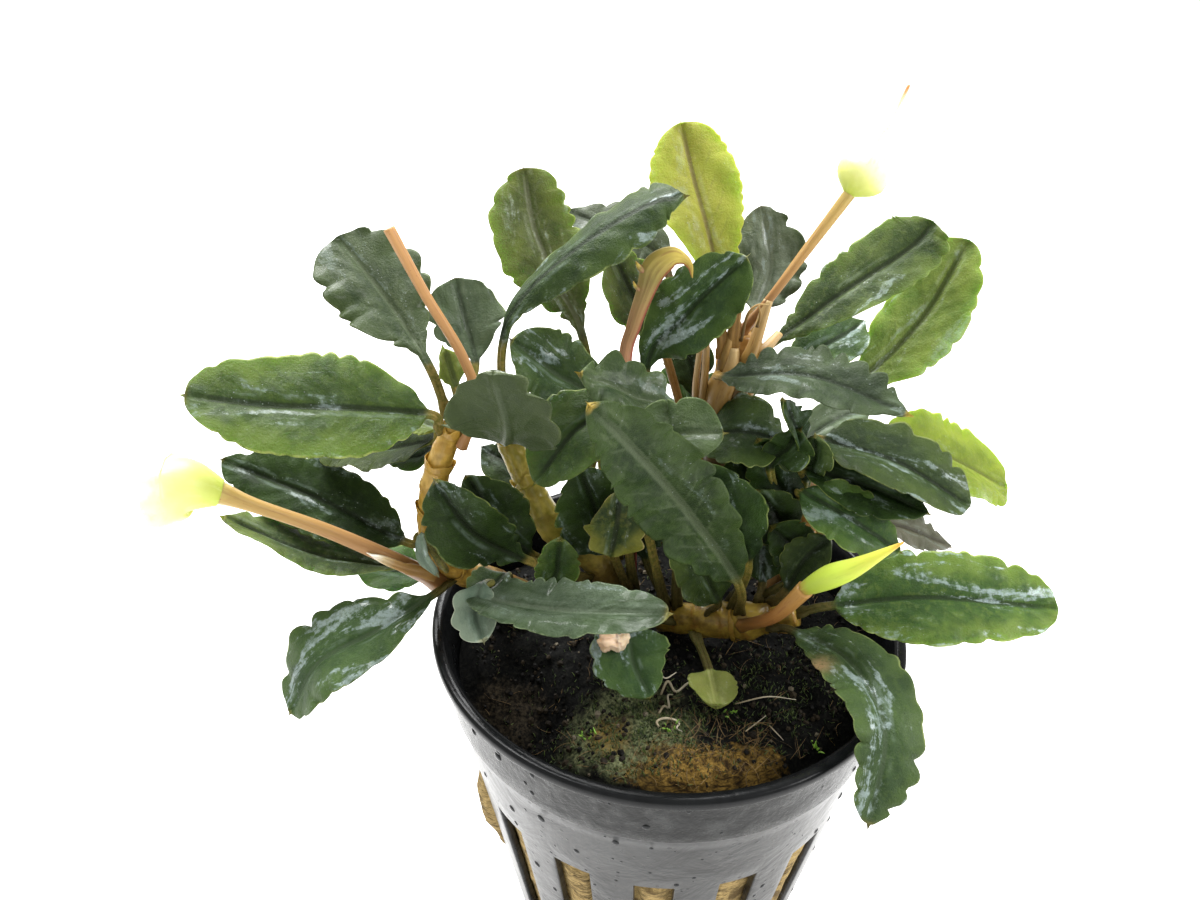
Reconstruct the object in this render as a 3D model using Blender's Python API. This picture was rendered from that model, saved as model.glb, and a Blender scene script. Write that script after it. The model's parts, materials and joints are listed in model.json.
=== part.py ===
# Potted bucephalandra: a rosette of wavy leaves on creeping stems, with four
# flowers and one cut flower stalk, rooted in rock wool in a net pot.
# Blender 4.5, metres, +Z up. The origin is the centre of the pot's flat underside.
# The camera side of the plant is -Y, and +X is its right.

import math

import bmesh
import bpy
from mathutils import Vector

MM = 0.001

# Net pot, in millimetres
POT_HEIGHT = 50.0
RIM_RADIUS = 27.0
LIP_HEIGHT = 1.3
LIP_STAND_OUT = 0.8
COLLAR_DEPTH = 8.2
COLLAR_RADIUS = 25.6
COLLAR_STEP = 0.5
BASE_RADIUS = 18.5
WALL = 1.0
FLOOR_THICKNESS = 1.5
SLOT_COUNT = 16
SLOT_DEGREES = 10.5
SLOT_FIRST_DEGREES = -94.5
SLOT_TOP = 31.5
SLOT_BOTTOM = 6.0
RIB_COLUMNS = 2

# Rock wool plug, in millimetres
PLUG_GAP = 0.4
PLUG_TOP = 45.5
PLUG_SECTORS = 32
PLUG_RINGS = (4.5, 9.0, 13.5, 17.5, 21.0)
PLUG_EDGE_DROP = 1.6

# Leaves, in millimetres
PETIOLE_WIDTH = 1.3
PETIOLE_THICKNESS = 1.0
BLADE_THICKNESS = 0.7
STATION_SPACING = 1.5
FEWEST_STATIONS = 7
JOINT_GAP = 0.35

# Any direction that no stem runs along
STEM_FACE = (0.1, -1.0, 0.2)

COLOURS = {
    "leaf_dark": (0.012, 0.045, 0.012),
    "leaf_mid": (0.05, 0.16, 0.02),
    "leaf_olive": (0.07, 0.10, 0.02),
    "leaf_light": (0.30, 0.45, 0.04),
    "stem_gold": (0.32, 0.22, 0.05),
    "stalk_orange": (0.50, 0.26, 0.12),
    "spathe_yellow": (0.62, 0.75, 0.12),
    "spathe_withered": (0.48, 0.30, 0.09),
    "pot_black": (0.012, 0.012, 0.014),
    "rock_wool": (0.12, 0.08, 0.03),
}
ROUGHNESS = {"pot_black": 0.25, "rock_wool": 0.95, "stem_gold": 0.4}
LEAF_ROUGHNESS = 0.3

materials = {}
stems = {}


def material(name):
    if name not in materials:
        made = bpy.data.materials.new(name)
        made.use_nodes = True
        shader = made.node_tree.nodes["Principled BSDF"]
        shader.inputs["Base Color"].default_value = (*COLOURS[name], 1.0)
        shader.inputs["Roughness"].default_value = ROUGHNESS.get(name, LEAF_ROUGHNESS)
        shader.inputs["Metallic"].default_value = 0.0
        made.diffuse_color = (*COLOURS[name], 1.0)
        materials[name] = made
    return materials[name]


def add_object(name, rings, material_name, smooth_degrees=40.0, matched=False):
    """Join rings of points, in millimetres, into one closed solid. A ring of one is a tip.
    matched lays the upper and lower diagonals of a thin blade over each other, so it can't cut itself."""
    mesh_data = bmesh.new()
    loops = [[mesh_data.verts.new(Vector(p) * MM) for p in ring] for ring in rings]
    for low, high in zip(loops, loops[1:]):
        count = max(len(low), len(high))
        for i in range(count):
            j = (i + 1) % count
            if len(high) == 1:
                mesh_data.faces.new((low[i], low[j], high[0]))
            elif len(low) == 1:
                mesh_data.faces.new((low[0], high[j], high[i]))
            elif matched and i % 2:
                mesh_data.faces.new((low[i], low[j], high[i]))
                mesh_data.faces.new((low[j], high[j], high[i]))
            elif matched:
                mesh_data.faces.new((low[i], low[j], high[j]))
                mesh_data.faces.new((low[i], high[j], high[i]))
            else:
                mesh_data.faces.new((low[i], low[j], high[j], high[i]))
    if len(loops[0]) > 1:
        mesh_data.faces.new(reversed(loops[0]))
    if len(loops[-1]) > 1:
        mesh_data.faces.new(loops[-1])
    return finish_object(name, mesh_data, material_name, smooth_degrees)


def finish_object(name, mesh_data, material_name, smooth_degrees=40.0):
    bmesh.ops.recalc_face_normals(mesh_data, faces=mesh_data.faces)
    mesh = bpy.data.meshes.new(name)
    mesh_data.to_mesh(mesh)
    mesh_data.free()
    mesh.materials.append(material(material_name))
    mesh.shade_smooth()
    mesh.set_sharp_from_angle(angle=math.radians(smooth_degrees))
    made = bpy.data.objects.new(name, mesh)
    bpy.context.scene.collection.objects.link(made)
    made.parent = plant
    return made


def curve_point(points, t):
    """Smooth curve through the points. t runs from 0 to the number of spans."""
    span = min(int(t), len(points) - 2)
    local = t - span
    p1, p2 = points[span], points[span + 1]
    p0 = points[span - 1] if span > 0 else p1 * 2 - p2
    p3 = points[span + 2] if span + 2 < len(points) else p2 * 2 - p1
    return 0.5 * (
        2 * p1
        + (p2 - p0) * local
        + (2 * p0 - 5 * p1 + 4 * p2 - p3) * local ** 2
        + (3 * p1 - p0 - 3 * p2 + p3) * local ** 3
    )


def curve_frames(points, parameters, face, face_tip=None):
    """Point, tangent, side and upward direction at each place along the curve."""
    points = [Vector(p) for p in points]
    face = Vector(face).normalized()
    face_tip = Vector(face_tip).normalized() if face_tip else face
    last = len(points) - 1
    frames = []
    for t in parameters:
        here = curve_point(points, t)
        tangent = curve_point(points, min(t + 0.05, last)) - curve_point(points, max(t - 0.05, 0.0))
        tangent.normalize()
        wanted = face.lerp(face_tip, t / last)
        up = (wanted - tangent * wanted.dot(tangent)).normalized()
        frames.append((here, tangent, tangent.cross(up).normalized(), up))
    return frames


def blade_shape(s, widest, blunt):
    """Half outline of a leaf from 0 at its base to 1 at its tip, 1 at the widest place."""
    skew = math.log(0.5) / math.log(widest)
    return math.sin(math.pi * s ** skew) ** blunt


def stem_surface(on, at, toward):
    """Where a petiole or stalk meets a stem: at runs from 0 at the stem's foot to 1 at its end."""
    path, radii = stems[on]
    [(axis, tangent, _, _)] = curve_frames(path, [at * (len(path) - 1)], STEM_FACE)
    away = (Vector(toward) - axis).normalized()
    along = away.dot(tangent)
    if at == 1.0 and along > 0.5:
        lean = math.sqrt(1.0 - along ** 2)
        return axis + away * (JOINT_GAP + lean * PETIOLE_WIDTH / 2) / along
    outward = (away - tangent * along).normalized()
    return axis + outward * (radius_at(radii, at) + JOINT_GAP + abs(along) * PETIOLE_WIDTH / 2)


def radius_at(radii, at):
    place = at * (len(radii) - 1)
    low = min(int(place), len(radii) - 2)
    return radii[low] + (radii[low + 1] - radii[low]) * (place - low)


def leaf(name, tone, on, at, width, face, path, face_tip=None, fold=0.15, ruffle=0.35, widest=0.5, blunt=0.7):
    """A leaf with its petiole, from its stem to the blade's base, where path starts, and on to the tip."""
    path = [stem_surface(on, at, path[0]), *path]
    points = [Vector(p) for p in path]
    blade_length = sum((b - a).length for a, b in zip(points[1:], points[2:]))
    stations = max(FEWEST_STATIONS, round(blade_length / STATION_SPACING))
    spans = len(points) - 1
    parameters = [0.0, 0.6]
    parameters += [1.0 + (spans - 1) * i / stations for i in range(stations + 1)]
    rings = []
    for i, (here, _, side, up) in enumerate(curve_frames(path, parameters, face, face_tip)):
        station = i - 2
        if station == stations:
            rings.append([here])
            continue
        half = PETIOLE_WIDTH / 2
        thick = PETIOLE_THICKNESS / 2
        lift = 0.0
        wave = 0.0
        if station > 0:
            s = station / stations
            half = max(half, width / 2 * blade_shape(s, widest, blunt))
            thick = BLADE_THICKNESS / 2
            lift = fold * half
            wave = ruffle * (1 if station % 2 else -1) * min(1.0, half * 2 / width + 0.2)
        left = here - side * (half + wave * 0.5) + up * (lift + wave)
        right = here + side * (half - wave * 0.5) + up * (lift - wave)
        rings.append([right, here + up * thick, left, here - up * thick])
    return add_object(name, rings, tone, 60.0, matched=True)


def stem(name, tone, path, radii, sides=8, per_span=3, ridges=0.0):
    """A round stem along a smooth curve. radii are spread evenly from its foot to its end."""
    stems[name] = (path, radii)
    spans = len(path) - 1
    steps = spans * per_span
    parameters = [spans * i / steps for i in range(steps + 1)]
    rings = []
    for i, (here, _, side, up) in enumerate(curve_frames(path, parameters, STEM_FACE)):
        radius = radius_at(radii, i / steps) * (1.0 + ridges * (1 if i % 2 else -1))
        turns = [2 * math.pi * k / sides for k in range(sides)]
        rings.append([here + (side * math.cos(a) + up * math.sin(a)) * radius for a in turns])
    return add_object(name, rings, tone)


def pot_wall(height):
    """Outer radius of the wall at a height, without the lip."""
    collar_foot = POT_HEIGHT - COLLAR_DEPTH
    if height > collar_foot:
        rise = (height - collar_foot) / COLLAR_DEPTH
        return COLLAR_RADIUS + rise * (RIM_RADIUS - LIP_STAND_OUT - COLLAR_RADIUS)
    return BASE_RADIUS + (COLLAR_RADIUS - COLLAR_STEP - BASE_RADIUS) * height / collar_foot


def pot_columns():
    """Angles of the pot's mesh columns, and whether the strip after each one is a slot."""
    pitch = 360.0 / SLOT_COUNT
    rib = (pitch - SLOT_DEGREES) / RIB_COLUMNS
    columns = []
    for i in range(SLOT_COUNT):
        start = SLOT_FIRST_DEGREES - SLOT_DEGREES / 2 + i * pitch
        columns.append((math.radians(start), True))
        for k in range(RIB_COLUMNS):
            columns.append((math.radians(start + SLOT_DEGREES + k * rib), False))
    return columns


def net_pot():
    collar_foot = POT_HEIGHT - COLLAR_DEPTH
    lip_foot = POT_HEIGHT - LIP_HEIGHT
    outer = [
        (BASE_RADIUS, 0.0),
        (pot_wall(SLOT_BOTTOM), SLOT_BOTTOM),
        (pot_wall(SLOT_TOP), SLOT_TOP),
        (pot_wall(collar_foot), collar_foot),
        (COLLAR_RADIUS, collar_foot + COLLAR_STEP),
        (pot_wall(lip_foot), lip_foot),
        (RIM_RADIUS, lip_foot),
        (RIM_RADIUS, POT_HEIGHT - 0.3),
        (RIM_RADIUS - 0.3, POT_HEIGHT),
    ]
    inner = [
        (RIM_RADIUS - LIP_STAND_OUT - WALL / 2, POT_HEIGHT),
        (COLLAR_RADIUS - WALL, collar_foot + COLLAR_STEP),
        (pot_wall(collar_foot) - WALL, collar_foot),
        (pot_wall(SLOT_TOP) - WALL, SLOT_TOP),
        (pot_wall(SLOT_BOTTOM) - WALL, SLOT_BOTTOM),
        (pot_wall(FLOOR_THICKNESS) - WALL, FLOOR_THICKNESS),
    ]
    profile = outer + inner
    outer_slot = 1
    inner_slot = len(outer) + 3
    columns = pot_columns()
    mesh_data = bmesh.new()
    grid = []
    for angle, _ in columns:
        across = [Vector((math.cos(angle) * r, math.sin(angle) * r, z)) * MM for r, z in profile]
        grid.append([mesh_data.verts.new(p) for p in across])
    below = mesh_data.verts.new((0.0, 0.0, 0.0))
    above = mesh_data.verts.new((0.0, 0.0, FLOOR_THICKNESS * MM))
    for i, (_, is_slot) in enumerate(columns):
        a, b = grid[i], grid[(i + 1) % len(grid)]
        for k in range(len(profile) - 1):
            if is_slot and k in (outer_slot, inner_slot):
                continue
            mesh_data.faces.new((a[k], b[k], b[k + 1], a[k + 1]))
        mesh_data.faces.new((below, b[0], a[0]))
        mesh_data.faces.new((above, a[-1], b[-1]))
        if is_slot:
            foot, head = outer_slot, outer_slot + 1
            inner_head, inner_foot = inner_slot, inner_slot + 1
            mesh_data.faces.new((a[foot], b[foot], b[inner_foot], a[inner_foot]))
            mesh_data.faces.new((a[inner_head], b[inner_head], b[head], a[head]))
            mesh_data.faces.new((a[foot], a[inner_foot], a[inner_head], a[head]))
            mesh_data.faces.new((b[foot], b[head], b[inner_head], b[inner_foot]))
    return finish_object("net_pot", mesh_data, "pot_black", 30.0)


def plug_height(x, y):
    """Top of the rock wool: a mound at the front, and a hollow at the front left."""
    mound = 2.4 * math.exp(-((x - 3.0) / 9.0) ** 2 - ((y + 19.0) / 5.0) ** 2)
    hollow = 7.5 * math.exp(-((x + 18.0) / 7.0) ** 2 - ((y + 12.0) / 7.5) ** 2)
    lumps = 0.45 * math.sin(x * 0.75 + 1.0) * math.cos(y * 0.66)
    back = -1.0 / (1.0 + math.exp(-(y - 12.0) / 2.0))
    return PLUG_TOP + mound - hollow + lumps + back


def rock_wool_plug():
    turns = [2 * math.pi * (i + 0.5) / PLUG_SECTORS for i in range(PLUG_SECTORS)]
    clearance = (WALL + PLUG_GAP) / math.cos(math.pi / PLUG_SECTORS)

    def ring(radius, height):
        return [(math.cos(a) * radius, math.sin(a) * radius, height) for a in turns]

    rings = []
    foot = FLOOR_THICKNESS + PLUG_GAP
    for height in (foot, SLOT_BOTTOM, SLOT_TOP):
        rings.append(ring(pot_wall(height) - clearance, height))
    shoulder = []
    for a, (x, y, _) in zip(turns, ring(PLUG_RINGS[-1], 0.0)):
        height = min(plug_height(x, y) - PLUG_EDGE_DROP, POT_HEIGHT - COLLAR_DEPTH)
        radius = pot_wall(height) - clearance
        shoulder.append((math.cos(a) * radius, math.sin(a) * radius, height))
    rings.append(shoulder)
    for radius in reversed(PLUG_RINGS):
        rings.append([(x, y, plug_height(x, y)) for x, y, _ in ring(radius, 0.0)])
    rings.append([(0.0, 0.0, plug_height(0.0, 0.0))])
    return add_object("rock_wool", rings, "rock_wool", 60.0)


def creeping_stems():
    stem("stem_left", "stem_gold", ((-18, 6, 46.8), (-21, 3.5, 50.8), (-24, 0.5, 54.5), (-26, -1, 60),
         (-25.5, -1, 66.5), (-24, -1, 71.5), (-21.8, -1, 76)), (1.6, 1.5, 1.4, 1.4, 1.5, 1.2, 0.8),
         per_span=2, ridges=0.05)
    stem("stem_centre", "stem_gold", ((-5, 4, 46.1), (-8, 2, 54.5), (-13, 1, 60.5), (-15.5, 2, 65),
         (-17.5, 3, 70), (-18, 3, 73)), (1.9, 1.7, 1.7, 1.5, 1.3, 0.9), per_span=2, ridges=0.05)
    stem("stem_front", "stem_gold", ((0.5, 0.5, 47.4), (4.5, -1.5, 49.3), (9, -3, 50.5), (14, -4.5, 53)),
         (1.5, 2.0, 2.1, 1.4), per_span=3, ridges=0.05)
    stem("stem_back", "stem_gold", ((4, 9, 46), (6, 8, 55), (6, 7.5, 63), (6, 8, 71), (7.2, 9, 80.5)),
         (1.8, 1.6, 1.6, 1.8, 1.5), per_span=2, ridges=0.05)
    stem("stem_right", "stem_gold", ((13.5, 6, 46.2), (16, 5, 54), (15.5, 4, 63), (15, 3, 70)),
         (1.6, 1.4, 1.3, 1.0), per_span=3, ridges=0.05)


def left_leaves():
    leaf("leaf_left_1", "leaf_mid", "stem_left", 0.93, 11.0, (0, -0.6, 0.8), ((-24.7, -2.5, 76.6),
         (-30.7, -5, 78.6), (-38, -7.5, 80.2), (-44.6, -10, 82.5)), blunt=0.55, fold=0.1)
    leaf("leaf_left_2", "leaf_dark", "stem_left", 0.97, 10.2, (0.35, -0.8, 0.5), ((-25, 1, 80),
         (-29, 5.5, 84.3), (-35.2, 11, 90)), widest=0.7, blunt=0.55)
    leaf("leaf_left_3", "leaf_dark", "stem_left", 0.95, 7.5, (0.2, -0.85, 0.45), ((-21, 4.5, 78.5),
         (-22, 7.3, 82), (-23.2, 9.5, 86.2)), widest=0.6)
    leaf("leaf_left_4", "leaf_light", "stem_left", 1.0, 2.8, (0.6, -0.7, 0.2), ((-22.4, 0, 78.4),
         (-23.3, 0.2, 82.5)), fold=0.5, ruffle=0.1)
    leaf("leaf_left_5", "leaf_dark", "stem_left", 0.5, 8.8, (0.1, -0.5, 0.85), ((-29.5, 0.5, 58.5),
         (-39.1, 3.5, 62), (-50.6, 6, 65.7)))
    leaf("leaf_left_6", "leaf_mid", "stem_left", 0.42, 7.5, (0, 0.1, 1), ((-30, -1.2, 56.4),
         (-39.5, -1.2, 58.2), (-48, -2, 63.5)))
    leaf("leaf_left_7", "leaf_dark", "stem_left", 0.8, 7.5, (0, -0.15, 1), ((-27.8, 2, 70.5),
         (-32.5, 5.5, 68), (-40, 9, 65.7)))
    leaf("leaf_left_8", "leaf_dark", "stem_left", 0.36, 9.8, (-0.35, -0.45, 0.8), ((-26, -4, 54.8),
         (-31.8, -8, 53), (-37.7, -10, 50.3), (-41, -12, 45)), widest=0.55)
    leaf("leaf_left_9", "leaf_mid", "stem_left", 0.36, 4.5, (0, -0.3, 1), ((-28, 1.5, 53.8),
         (-32, 2, 53.6), (-36.5, 2.5, 53.2)), ruffle=0.2)


def centre_leaves():
    leaf("leaf_centre_1", "leaf_dark", "stem_centre", 1.0, 9.5, (0.1, 0.7, 0.7), ((-17.5, -3.5, 74.3),
         (-17.3, -6.8, 78.6), (-18.2, -8.5, 84.3)), fold=-0.15, widest=0.5, ruffle=0.6, blunt=0.45)
    leaf("leaf_centre_2", "leaf_dark", "stem_centre", 0.22, 7.5, (0, -0.9, 0.4), ((-15.5, -5, 60.5),
         (-20.5, -7.5, 66), (-23.5, -9, 73)), widest=0.55)
    leaf("leaf_centre_3", "leaf_dark", "stem_centre", 0.3, 7.5, (0.2, -0.85, 0.5), ((-15.2, -2.8, 59.5),
         (-19, -3.5, 65), (-21.5, -3.5, 70)), widest=0.5)
    leaf("leaf_centre_4", "leaf_dark", "stem_centre", 0.35, 8.5, (-0.1, -0.6, 0.8), ((-8, 5.5, 72.5),
         (-13, 5.5, 77.5), (-17, 4.5, 81.5)), blunt=0.55)
    leaf("leaf_centre_5", "leaf_olive", "stem_centre", 0.15, 9.2, (0, -0.85, 0.5), ((-9.5, 11, 77),
         (-12.6, 13.5, 84), (-15.3, 16.5, 89.4), (-16.4, 19, 95.2)), widest=0.6, blunt=0.55)
    leaf("leaf_centre_6", "leaf_dark", "stem_centre", 1.0, 8.5, (-0.35, -0.5, 0.8), ((-17.8, 2.5, 81.5),
         (-15.5, 3, 87), (-9.7, 3, 92.3), (-3.5, 4, 95.8), (-0.2, 4, 96.5)), fold=-0.4, blunt=0.75)
    leaf("leaf_centre_7", "leaf_dark", "stem_centre", 0.12, 9.0, (0, -0.8, 0.6), ((-6.3, -0.8, 58),
         (-8, -1.5, 63.5), (-10, -2, 70)), blunt=0.5)
    leaf("leaf_centre_8", "leaf_dark", "stem_centre", 0.2, 7.0, (-0.2, -0.6, 0.8), ((-6.8, 0, 73.8),
         (-10.1, -2.3, 75), (-14.4, -4, 69.6)), ruffle=0.3)


def front_leaves():
    leaf("leaf_front_1", "leaf_dark", "stem_front", 0.66, 8.5, (-0.2, -0.75, 0.6), ((6.5, -8, 60),
         (0.4, -12, 71.7), (-4.1, -15.5, 79.5), (-8.7, -19, 86.7)), widest=0.45, ruffle=0.5)
    leaf("leaf_front_2", "leaf_dark", "stem_front", 0.14, 6.5, (0.1, -0.6, 0.8), ((-0.5, -1.5, 74.3),
         (-4.7, -3, 78.7), (-9.8, -4.5, 81)), blunt=0.5, ruffle=0.5)
    leaf("leaf_front_3", "leaf_mid", "stem_front", 0.03, 7.0, (0, -0.6, 0.8), ((-2.5, -6, 69.5),
         (0.2, -7.4, 74), (5, -7.8, 75.4)), blunt=0.5)
    leaf("leaf_front_4", "leaf_dark", "stem_left", 0.14, 7.0, (0, -0.1, 1), ((-20.5, -9, 59.5),
         (-17, -13.5, 62), (-10.5, -17.5, 64.5), (-1.8, -20, 66.5)), blunt=0.5)
    leaf("leaf_front_5", "leaf_dark", "stem_front", 0.1, 8.5, (0, -0.45, 0.9), ((-4, -5, 52),
         (-4.3, -9, 50.3), (-2.5, -13, 48.5)), blunt=0.5)
    leaf("leaf_front_6", "leaf_mid", "stem_front", 0.42, 7.5, (0.5, -0.8, 0.3), ((5.2, -4.5, 54.5),
         (3, -5, 59.5), (0, -6, 64)), blunt=0.55)
    leaf("leaf_front_7", "leaf_dark", "stem_front", 0.78, 4.2, (0, -0.8, 0.6), ((10.6, -1, 54.5),
         (10.3, 0, 59)), ruffle=0.15, blunt=0.5)
    leaf("leaf_front_8", "leaf_dark", "stem_front", 0.9, 5.0, (-0.3, -0.8, 0.6), ((12.5, -4.5, 56.3),
         (14, -4.5, 60.5), (16.3, -4.5, 63.3)))
    leaf("leaf_front_9", "leaf_mid", "stem_front", 1.0, 10.5, (0.1, -0.55, 0.85), ((17.5, -5, 54.5),
         (27.5, -5.5, 56.2), (41.5, -6, 55.2)), blunt=0.55)
    leaf("leaf_front_10", "leaf_dark", "stem_front", 0.88, 8.0, (0.3, -0.3, 0.9), ((13, -8, 53.5),
         (17, -14, 55.3), (19, -21.5, 54), (17, -27.5, 48)), face_tip=(0.2, -0.9, 0.5), blunt=0.6)
    leaf("leaf_front_11", "leaf_olive", "stem_front", 0.3, 5.5, (0, -0.3, 1), ((4.2, -8.3, 48.6),
         (4.5, -14.3, 49)), ruffle=0.1, blunt=0.4)
    leaf("leaf_front_12", "leaf_dark", "stem_front", 0.6, 8.0, (0, -0.8, 0.6), ((8, -4.5, 60),
         (5.3, -4.8, 66), (2.5, -5, 72.5)), blunt=0.6)


def back_leaves():
    leaf("leaf_back_1", "leaf_light", "stem_back", 1.0, 10.0, (0.2, -0.5, 0.9), ((5.8, 13.5, 79.8),
         (2.9, 17, 89), (1.8, 20.5, 93), (0.9, 24, 99)), face_tip=(0, -0.9, 0.45), widest=0.6, blunt=0.5)
    leaf("leaf_back_2", "leaf_dark", "stem_back", 0.36, 8.0, (0.3, -0.8, 0.6), ((-3, 6.2, 76.5),
         (1.2, 6, 84.3), (6.5, 6, 90)), widest=0.55)
    leaf("leaf_back_3", "leaf_dark", "stem_back", 0.4, 8.0, (0.1, -0.5, 0.85), ((0.3, 21, 81.8),
         (-5.4, 23, 86.6), (-11.8, 25, 88.8)))
    leaf("leaf_back_4", "leaf_olive", "stem_back", 0.48, 7.0, (0.3, -0.8, 0.5), ((-1, 10.5, 78),
         (-4.5, 10.5, 84), (-7, 10.5, 89.5)))
    leaf("leaf_back_5", "leaf_dark", "stem_back", 0.95, 8.0, (-0.3, -0.85, 0.4), ((9.2, 13.5, 81),
         (11.1, 17, 85), (9.9, 20, 91)), blunt=0.6)
    leaf("leaf_back_6", "leaf_olive", "stem_back", 0.97, 8.5, (-0.35, -0.65, 0.65), ((10.5, 9, 79.2),
         (16.9, 10.5, 83.9), (24.9, 13, 88.7), (27.2, 14, 91.2)), widest=0.58, blunt=0.5)
    leaf("leaf_back_7", "leaf_mid", "stem_back", 0.9, 10.5, (-0.4, -0.75, 0.5), ((20.8, 14.5, 71.7),
         (29, 17.5, 77.8), (34, 20, 87.3)), widest=0.55, blunt=0.55)
    leaf("leaf_back_8", "leaf_dark", "stem_back", 0.9, 7.5, (0, -0.35, 0.95), ((8, 3.5, 78.3),
         (14.1, -1, 80.4), (21, -6, 79)), ruffle=0.5)
    leaf("leaf_back_9", "leaf_mid", "stem_back", 0.95, 7.0, (-0.1, -0.5, 0.85), ((13.2, 12.7, 75.2),
         (18.6, 15, 76.8), (23, 18, 78)))
    leaf("leaf_back_10", "leaf_dark", "stem_back", 0.7, 6.5, (-0.1, -0.5, 0.85), ((5.4, 3.8, 71),
         (7.8, 1.6, 73.2), (12, 1, 72.5)), blunt=0.5)


def right_leaves():
    leaf("leaf_right_1", "leaf_light", "stem_right", 0.8, 11.0, (0, -0.45, 0.9), ((24.4, 10, 65.4),
         (33.3, 12.5, 62.7), (43, 14, 58.2)), blunt=0.55)
    leaf("leaf_right_2", "leaf_dark", "stem_right", 1.0, 8.0, (0, -0.4, 0.9), ((17, 0.8, 72.3),
         (22.5, -1, 72), (30, -4, 66.8)), fold=0.2)
    leaf("leaf_right_3", "leaf_dark", "stem_right", 0.85, 7.0, (0, -0.5, 0.85), ((15.8, 0, 67.8),
         (20.5, -2, 67.3), (27, -4, 63.5)))
    leaf("leaf_right_4", "leaf_mid", "stem_right", 0.68, 7.0, (0, -0.5, 0.85), ((15.5, -2, 64.5),
         (19, -5, 63.5), (23.5, -6.5, 61.5)))
    leaf("leaf_right_5", "leaf_dark", "stem_right", 0.45, 5.0, (0, -0.4, 0.9), ((22, 5, 58.8),
         (28.8, 7, 56.3), (35.5, 9, 52)))
    leaf("leaf_right_6", "leaf_dark", "stem_right", 1.0, 3.6, (0.7, -0.6, 0.3), ((13.3, 0, 71.5),
         (11.7, -1.5, 75), (10, -2.5, 78.5)), fold=0.5)


def flowers():
    foot = stem_surface("stem_left", 0.44, (-29.7, -3.5, 60))
    stem("flower_stalk_left", "stalk_orange", (foot, (-29.7, -4.5, 60), (-36, -5.5, 64.5),
         (-42, -7.5, 69), (-44.8, -8.5, 71.3)), (0.7, 0.7, 0.9, 1.2, 1.4), sides=6, per_span=2)
    stem("spathe_left", "spathe_yellow", ((-45.5, -8.75, 71.85), (-46.8, -9, 72.2), (-48.3, -9.2, 72.1),
         (-50, -9.5, 72)), (1.3, 2.9, 4.1, 3.9, 2.0), sides=8, per_span=2)
    stem("flower_stalk_cut", "stalk_orange", (stem_surface("stem_left", 0.92, (-17.5, -4, 74.5)),
         (-20, -2.2, 77.5), (-21.2, -1.6, 82.5), (-24.3, -0.7, 88.3), (-27.2, 0, 94.5)),
         (0.5, 0.5, 0.5, 0.5, 0.55), sides=6, per_span=2)
    stem("spathe_withered", "spathe_withered", (stem_surface("stem_centre", 0.1, (-3, 2, 70)), (-4.5, 2, 70),
         (-5, 3, 79.5), (-3.8, 3, 84.5), (-2.2, 3, 88.8), (0.6, 3, 91), (1.6, 3, 89.6)),
         (0.7, 0.7, 0.8, 1.0, 1.6, 1.3, 0.2), sides=6, per_span=2)
    stem("flower_stalk_tall", "stalk_orange", (stem_surface("stem_back", 1.0, (8.3, 7.6, 83.5)),
         (9.4, 7.2, 85), (13.6, 8.5, 91), (16.8, 9.5, 95.6)), (0.6, 0.45, 0.55, 0.65), sides=6, per_span=2)
    stem("spathe_tall", "spathe_yellow", ((17, 9.6, 96), (18.5, 10, 98.3), (19.6, 10.5, 101.1),
         (21.2, 11, 105.3)), (0.7, 2.6, 1.9, 0.35, 0.15), sides=8, per_span=3)
    stem("flower_stalk_low", "stalk_orange", (stem_surface("stem_front", 0.7, (9.6, -8, 54)),
         (10.4, -9, 56.5), (12.7, -10.5, 61.4)), (0.65, 0.7, 0.9), sides=6, per_span=3)
    stem("spathe_bud", "spathe_yellow", ((13, -10.7, 62), (16.8, -12.5, 66), (20, -14, 70)),
         (0.9, 1.5, 1.1, 0.1), sides=8, per_span=4)


for old in list(bpy.context.scene.objects):
    bpy.data.objects.remove(old, do_unlink=True)

plant = bpy.data.objects.new("bucephalandra", None)
bpy.context.scene.collection.objects.link(plant)

net_pot()
rock_wool_plug()
creeping_stems()
left_leaves()
centre_leaves()
front_leaves()
back_leaves()
right_leaves()
flowers()
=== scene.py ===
# Potted bucephalandra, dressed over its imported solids.
# Lengths are millimetres and become metres where a mesh is made.
import json
import math
import random

import bpy
import numpy as np
from mathutils import Matrix, Vector, noise


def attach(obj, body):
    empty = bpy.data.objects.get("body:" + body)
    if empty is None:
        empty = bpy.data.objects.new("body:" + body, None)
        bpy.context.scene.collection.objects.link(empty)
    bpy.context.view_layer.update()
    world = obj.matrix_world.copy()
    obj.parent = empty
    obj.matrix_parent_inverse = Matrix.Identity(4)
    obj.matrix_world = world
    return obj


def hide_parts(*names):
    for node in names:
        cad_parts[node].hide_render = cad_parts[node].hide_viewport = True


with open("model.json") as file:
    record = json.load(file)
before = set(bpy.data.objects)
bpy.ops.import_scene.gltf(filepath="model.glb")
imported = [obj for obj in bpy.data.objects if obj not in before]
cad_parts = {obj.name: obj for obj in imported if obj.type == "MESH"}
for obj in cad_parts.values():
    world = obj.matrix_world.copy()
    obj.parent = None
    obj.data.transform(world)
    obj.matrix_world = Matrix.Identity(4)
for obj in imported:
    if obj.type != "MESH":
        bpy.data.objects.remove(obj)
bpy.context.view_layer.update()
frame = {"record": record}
mm = 0.001


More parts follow.
